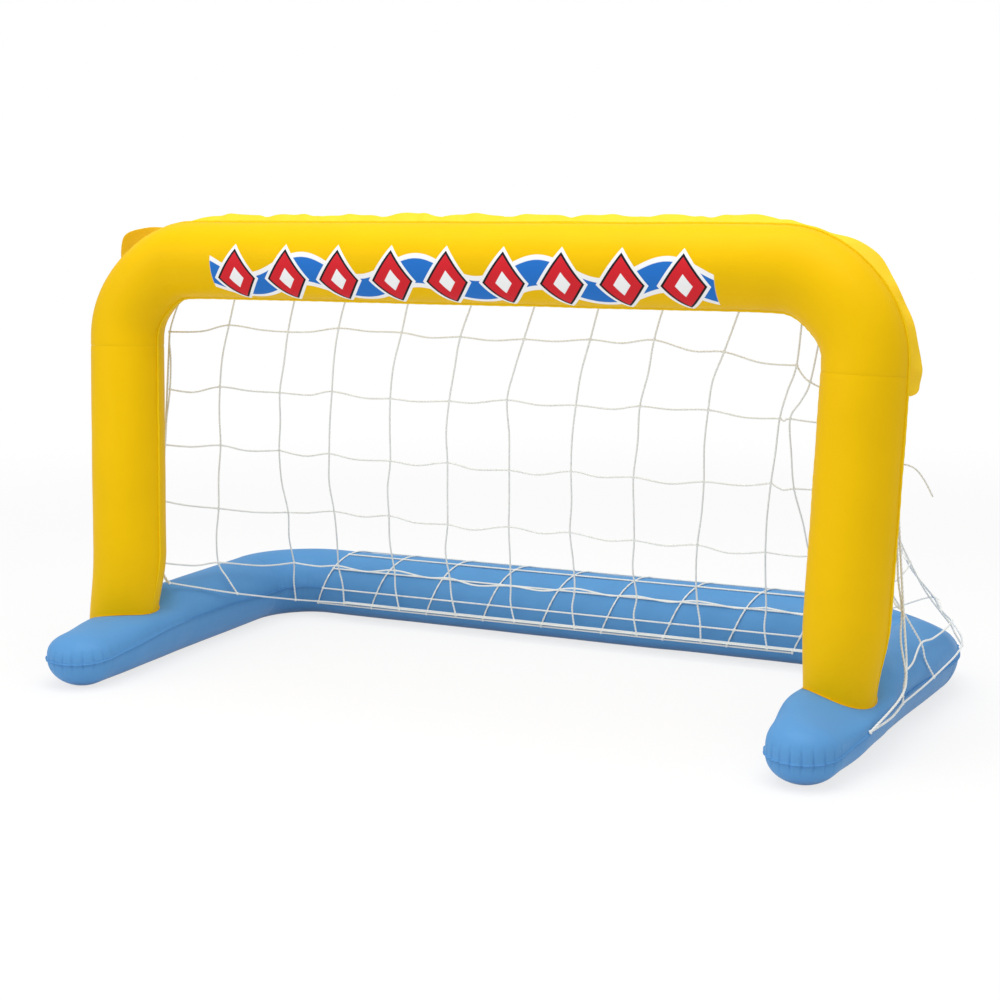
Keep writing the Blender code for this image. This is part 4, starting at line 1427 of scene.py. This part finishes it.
class GOAL_OT_stage(bpy.types.Operator):
    """Lay the floor, light it and set the camera at the photograph's view"""

    bl_idname = "goal.stage"
    bl_label = "Stage and Camera"

    def execute(self, context):
        settings = context.scene.goal_stage
        context.scene.view_settings.view_transform = "Standard"
        camera = added(bpy.ops.object.camera_add, "photo_camera")
        camera.data.lens = CAMERA_LENS
        camera.data.sensor_width = SENSOR_WIDTH
        back = Vector((math.sin(CAMERA_YAW) * math.cos(CAMERA_PITCH),
                       -math.cos(CAMERA_YAW) * math.cos(CAMERA_PITCH), math.sin(CAMERA_PITCH)))
        right = WORLD_Z.cross(back).normalized()
        up = back.cross(right)
        turned = right * math.cos(CAMERA_ROLL) + up * math.sin(CAMERA_ROLL)
        risen = up * math.cos(CAMERA_ROLL) - right * math.sin(CAMERA_ROLL)
        basis = Matrix((turned, risen, back)).transposed().to_4x4()
        camera.matrix_world = Matrix.Translation(CAMERA_PLACE) @ basis
        context.scene.camera = camera
        floor = added(bpy.ops.mesh.primitive_plane_add, "floor", size=FLOOR_SIZE)
        floor.data.transform(Matrix.Translation((0, 0, -FLOOR_DROP)))
        floor.data.materials.append(self.floor_material(settings))
        self.add_lamps(settings)
        self.light_world(context, settings)
        return {"FINISHED"}

    def floor_material(self, settings):
        recipe = Recipe("stage_floor", roughness=0.8)
        recipe.colour(shade(settings.floor))
        split = recipe.node("ShaderNodeSeparateXYZ", inputs={0: recipe.places()})
        x, y = Amount(recipe, split.outputs[0]), Amount(recipe, split.outputs[1])
        far = recipe.sum("SQRT", x * x + y * y).over(*FLOOR_WHITENS)
        paths = recipe.node("ShaderNodeLightPath")
        seen = recipe.larger(Amount(recipe, paths.outputs["Is Camera Ray"]),
                             Amount(recipe, paths.outputs["Is Glossy Ray"]))
        seen = recipe.larger(seen, Amount(recipe, paths.outputs["Is Transmission Ray"]))
        white = recipe.node("ShaderNodeEmission", inputs={"Color": (1, 1, 1, 1), "Strength": 1.0})
        glow = FLOOR_GLOW + (1 - FLOOR_GLOW) * far
        mix = recipe.node("ShaderNodeMixShader", inputs={0: seen * glow})
        recipe.tree.links.new(recipe.shader.outputs[0], mix.inputs[1])
        recipe.tree.links.new(white.outputs[0], mix.inputs[2])
        recipe.tree.links.new(mix.outputs[0], recipe.tree.nodes["Material Output"].inputs["Surface"])
        return recipe.material

    def add_lamps(self, settings):
        lamps = (("key_lamp", KEY_PLACE, settings.key, KEY_SIZE),
                 ("fill_lamp", FILL_PLACE, settings.fill, FILL_SIZE))
        for name, place, power, size in lamps:
            lamp = added(bpy.ops.object.light_add, name, type="AREA", location=place)
            lamp.data.energy = power
            lamp.data.size = size
            aim = LAMP_AIM - Vector(place)
            lamp.rotation_euler = aim.to_track_quat("-Z", "Y").to_euler()

    def light_world(self, context, settings):
        world = bpy.data.worlds.new("studio")
        context.scene.world = world
        world.use_nodes = True
        tree = world.node_tree
        soft = tree.nodes["Background"]
        soft.inputs["Color"].default_value = (1, 1, 1, 1)
        soft.inputs["Strength"].default_value = settings.world
        white = tree.nodes.new("ShaderNodeBackground")
        white.inputs["Color"].default_value = (1, 1, 1, 1)
        white.inputs["Strength"].default_value = 1.0
        paths = tree.nodes.new("ShaderNodeLightPath")
        seen = tree.nodes.new("ShaderNodeMath")
        seen.operation = "MAXIMUM"
        tree.links.new(paths.outputs["Is Camera Ray"], seen.inputs[0])
        tree.links.new(paths.outputs["Is Transmission Ray"], seen.inputs[1])
        mix = tree.nodes.new("ShaderNodeMixShader")
        tree.links.new(seen.outputs[0], mix.inputs[0])
        tree.links.new(soft.outputs[0], mix.inputs[1])
        tree.links.new(white.outputs[0], mix.inputs[2])
        tree.links.new(mix.outputs[0], tree.nodes["World Output"].inputs["Surface"])


class GOAL_OT_cords(bpy.types.Operator):
    """Make the tie cord, the border cords and the head and foot cords"""

    bl_idname = "goal.cords"
    bl_label = "Cords"

    def execute(self, context):
        settings = context.scene.goal_net
        recipe = twine_recipe("cord_twine", settings, settings.lay * CORD_LAY)
        right_border = right_border_route()
        knot = point_at_height(right_border, TIE_HEIGHT) + Vector((CORD_SEAT / 2 + TOUCH, 0, 0))
        tail = smooth_route([knot + Vector(step) for step in TIE_TAIL], 6)
        routes = {
            "net_head_cord": fine_route([head_point(column / 2, CORD_CLEAR)
                                         for column in range(2 * NET_COLUMNS + 1)]),
            "net_foot_cord": fine_route([foot_point(column, CORD_CLEAR)
                                         for column in range(REAR_FIRST + 1, ARM_FIRST)]),
            "left_border_cord": fine_route(border_route(0, -1)),
            "right_border_cord": fine_route(right_border),
            "tie_cord": tail,
        }
        for node, route in routes.items():
            diameter = TWINE_SEAT if node == "tie_cord" else None
            lacing = [route[-1], foot_point(NET_COLUMNS)] if node == "right_border_cord" else None
            piece = cord_piece(node.replace("net_", "") + "_twine", route, settings, diameter, lacing)
            give(piece, recipe)
            place_piece(piece, "goal", "net_twine", node)
            if node == "tie_cord":
                length = sum((b - a).length for a, b in zip(route, route[1:]))
        return {"FINISHED"}


class GOAL_OT_arch_film(bpy.types.Operator):
    """Make the arch's six film panels, with the print on the crossbar"""

    bl_idname = "goal.arch_film"
    bl_label = "Arch Film"

    def execute(self, context):
        settings = context.scene.goal_arch
        half_round = (ARCH_RADIUS - ARCH_SLIM) * math.pi
        plain = film_recipe("arch_film", settings, half_round, settings.lip)
        printed = printed_film_recipe("arch_film_print", settings, context.scene.goal_print, half_round,
                                      settings.lip)
        stations = [Station(run, at - along.cross(ARCH_BACK) * ARCH_SLIM, along)
                    for run, at, along in spaced(crossbar_path(), settings.spacing)]
        weld_run = stations[-1].run
        skin = arch_skin(settings, start_of_corner(weld_run), weld_run)
        valve = valve_place("arch")
        for front in (True, False):
            side = "front" if front else "rear"
            bar = tube_film(f"crossbar_{side}_film", stations, ARCH_BACK, skin, front, settings,
                            ARCH_RADIUS - ARCH_SLIM)
            give(bar, printed if front else plain)
            place_piece(bar, "goal", "arch_film", f"arch_crossbar_{side}_panel")
            for hand, sign in (("left", -1), ("right", 1)):
                seats = [valve] if hand == "left" and not front else []
                post = post_film(f"{hand}_post_{side}_film", sign, front, settings, skin, weld_run, seats)
                give(post, plain)
                place_piece(post, "goal", "arch_film", f"arch_{hand}_post_{side}_panel")
        return {"FINISHED"}


class GOAL_OT_base_film(bpy.types.Operator):
    """Make the base's six film panels"""

    bl_idname = "goal.base_film"
    bl_label = "Base Film"

    def execute(self, context):
        settings = context.scene.goal_base
        recipe = film_recipe("base_film", settings, TUBE_RADIUS * math.pi, settings.lip)
        path = base_path()
        stations = spaced(path[1:-1], settings.spacing)
        weld_run = stations[-1].run
        corner_run = weld_run - BASE_CORNER * math.pi / 4
        skin = base_skin(settings, weld_run, corner_run)
        weld_y = path[1][0].y - ARCH_Y
        valve = valve_place("base")
        for lower in (False, True):
            side = "lower" if lower else "upper"
            rear = tube_film(f"rear_tube_{side}_film", stations, WORLD_Z, skin, lower, settings,
                             TUBE_RADIUS, flat=lower)
            give(rear, recipe)
            place_piece(rear, "goal", "base_film", f"base_rear_tube_{side}_panel")
            for hand, sign in (("left", -1), ("right", 1)):
                seats = [valve] if hand == "left" and not lower else []
                arm = arm_film(f"{hand}_arm_{side}_film", sign, lower, settings, weld_y, seats)
                give(arm, recipe)
                place_piece(arm, "goal", "base_film", f"base_{hand}_arm_{side}_panel")
        return {"FINISHED"}


class GOAL_OT_hem(bpy.types.Operator):
    """Make the hem that carries the net"""

    bl_idname = "goal.hem"
    bl_label = "Hem"

    def execute(self, context):
        settings = context.scene.goal_hem
        hem = hem_film("hem_strip", settings)
        give(hem, film_recipe("hem_film", settings, 4 * HEM_HEIGHT, HEM_HEIGHT))
        place_piece(hem, "goal", "hem_film", "net_hem")
        return {"FINISHED"}


class GOAL_OT_net(bpy.types.Operator):
    """Knot the net's three panels and its wrap round the rear tube"""

    bl_idname = "goal.net"
    bl_label = "Net"

    def execute(self, context):
        settings = context.scene.goal_net
        recipe = twine_recipe("net_twine", settings, settings.lay)
        knots = hung_knots(settings)
        panels = (("left_side", 0, REAR_FIRST, True, False), ("rear", REAR_FIRST, REAR_LAST, True, True),
                  ("right_side", REAR_LAST, NET_COLUMNS, False, True))
        for name, first, last, keep_left, keep_right in panels:
            piece = net_piece(f"{name}_netting", first, last, keep_left, keep_right, knots, settings)
            give(piece, recipe)
            place_piece(piece, "goal", "net_twine", f"net_{name}_panel")
        wrap = wrap_piece("tube_wrap_netting", settings)
        give(wrap, recipe)
        place_piece(wrap, "goal", "net_twine", "net_tube_wrap")
        return {"FINISHED"}


class GOAL_OT_valves(bpy.types.Operator):
    """Make both air valves, each piece on its own body"""

    bl_idname = "goal.valves"
    bl_label = "Air Valves"

    def execute(self, context):
        recipe = vinyl_recipe("valve_vinyl", context.scene.goal_valve)
        for name in ("arch", "base"):
            bodies = {"flange": "goal", "stem": f"{name}_valve_tube", "flap": f"{name}_valve_check",
                      "plug": f"{name}_valve_cap"}
            for part, piece in valve_pieces(f"{name}_air_valve", valve_place(name)).items():
                smooth_piece(piece, VALVE_CREASE)
                give(piece, recipe)
                place_piece(piece, bodies[part], "valve_vinyl", f"{name}_valve_{part}")
        return {"FINISHED"}


class GOAL_PT_sidebar(bpy.types.Panel):
    """Lists a button for each operator that makes the goal's pieces and its stage"""

    bl_label = "Inflatable Goal"
    bl_idname = "GOAL_PT_sidebar"
    bl_space_type = "VIEW_3D"
    bl_region_type = "UI"
    bl_category = "Goal"

    def draw(self, context):
        column = self.layout.column(align=True)
        for operator in OPERATORS:
            column.operator(operator.bl_idname)


OPERATORS = (GOAL_OT_stage, GOAL_OT_cords, GOAL_OT_arch_film, GOAL_OT_base_film, GOAL_OT_hem, GOAL_OT_net,
             GOAL_OT_valves)
SETTINGS = {"goal_arch": ArchFilmSettings, "goal_base": BaseFilmSettings, "goal_hem": HemSettings,
            "goal_net": NetSettings, "goal_print": PrintSettings, "goal_valve": ValveSettings,
            "goal_stage": StageSettings}


def register():
    for name, group in SETTINGS.items():
        bpy.utils.register_class(group)
        setattr(bpy.types.Scene, name, PointerProperty(type=group))
    for operator in OPERATORS:
        bpy.utils.register_class(operator)
    bpy.utils.register_class(GOAL_PT_sidebar)


def unregister():
    bpy.utils.unregister_class(GOAL_PT_sidebar)
    for operator in reversed(OPERATORS):
        bpy.utils.unregister_class(operator)
    for name, group in SETTINGS.items():
        delattr(bpy.types.Scene, name)
        bpy.utils.unregister_class(group)


def main():
    register()
    bpy.ops.goal.stage()
    bpy.ops.goal.cords()
    bpy.ops.goal.arch_film()
    bpy.ops.goal.base_film()
    bpy.ops.goal.hem()
    bpy.ops.goal.net()
    bpy.ops.goal.valves()


if __name__ == "__main__":
    main()
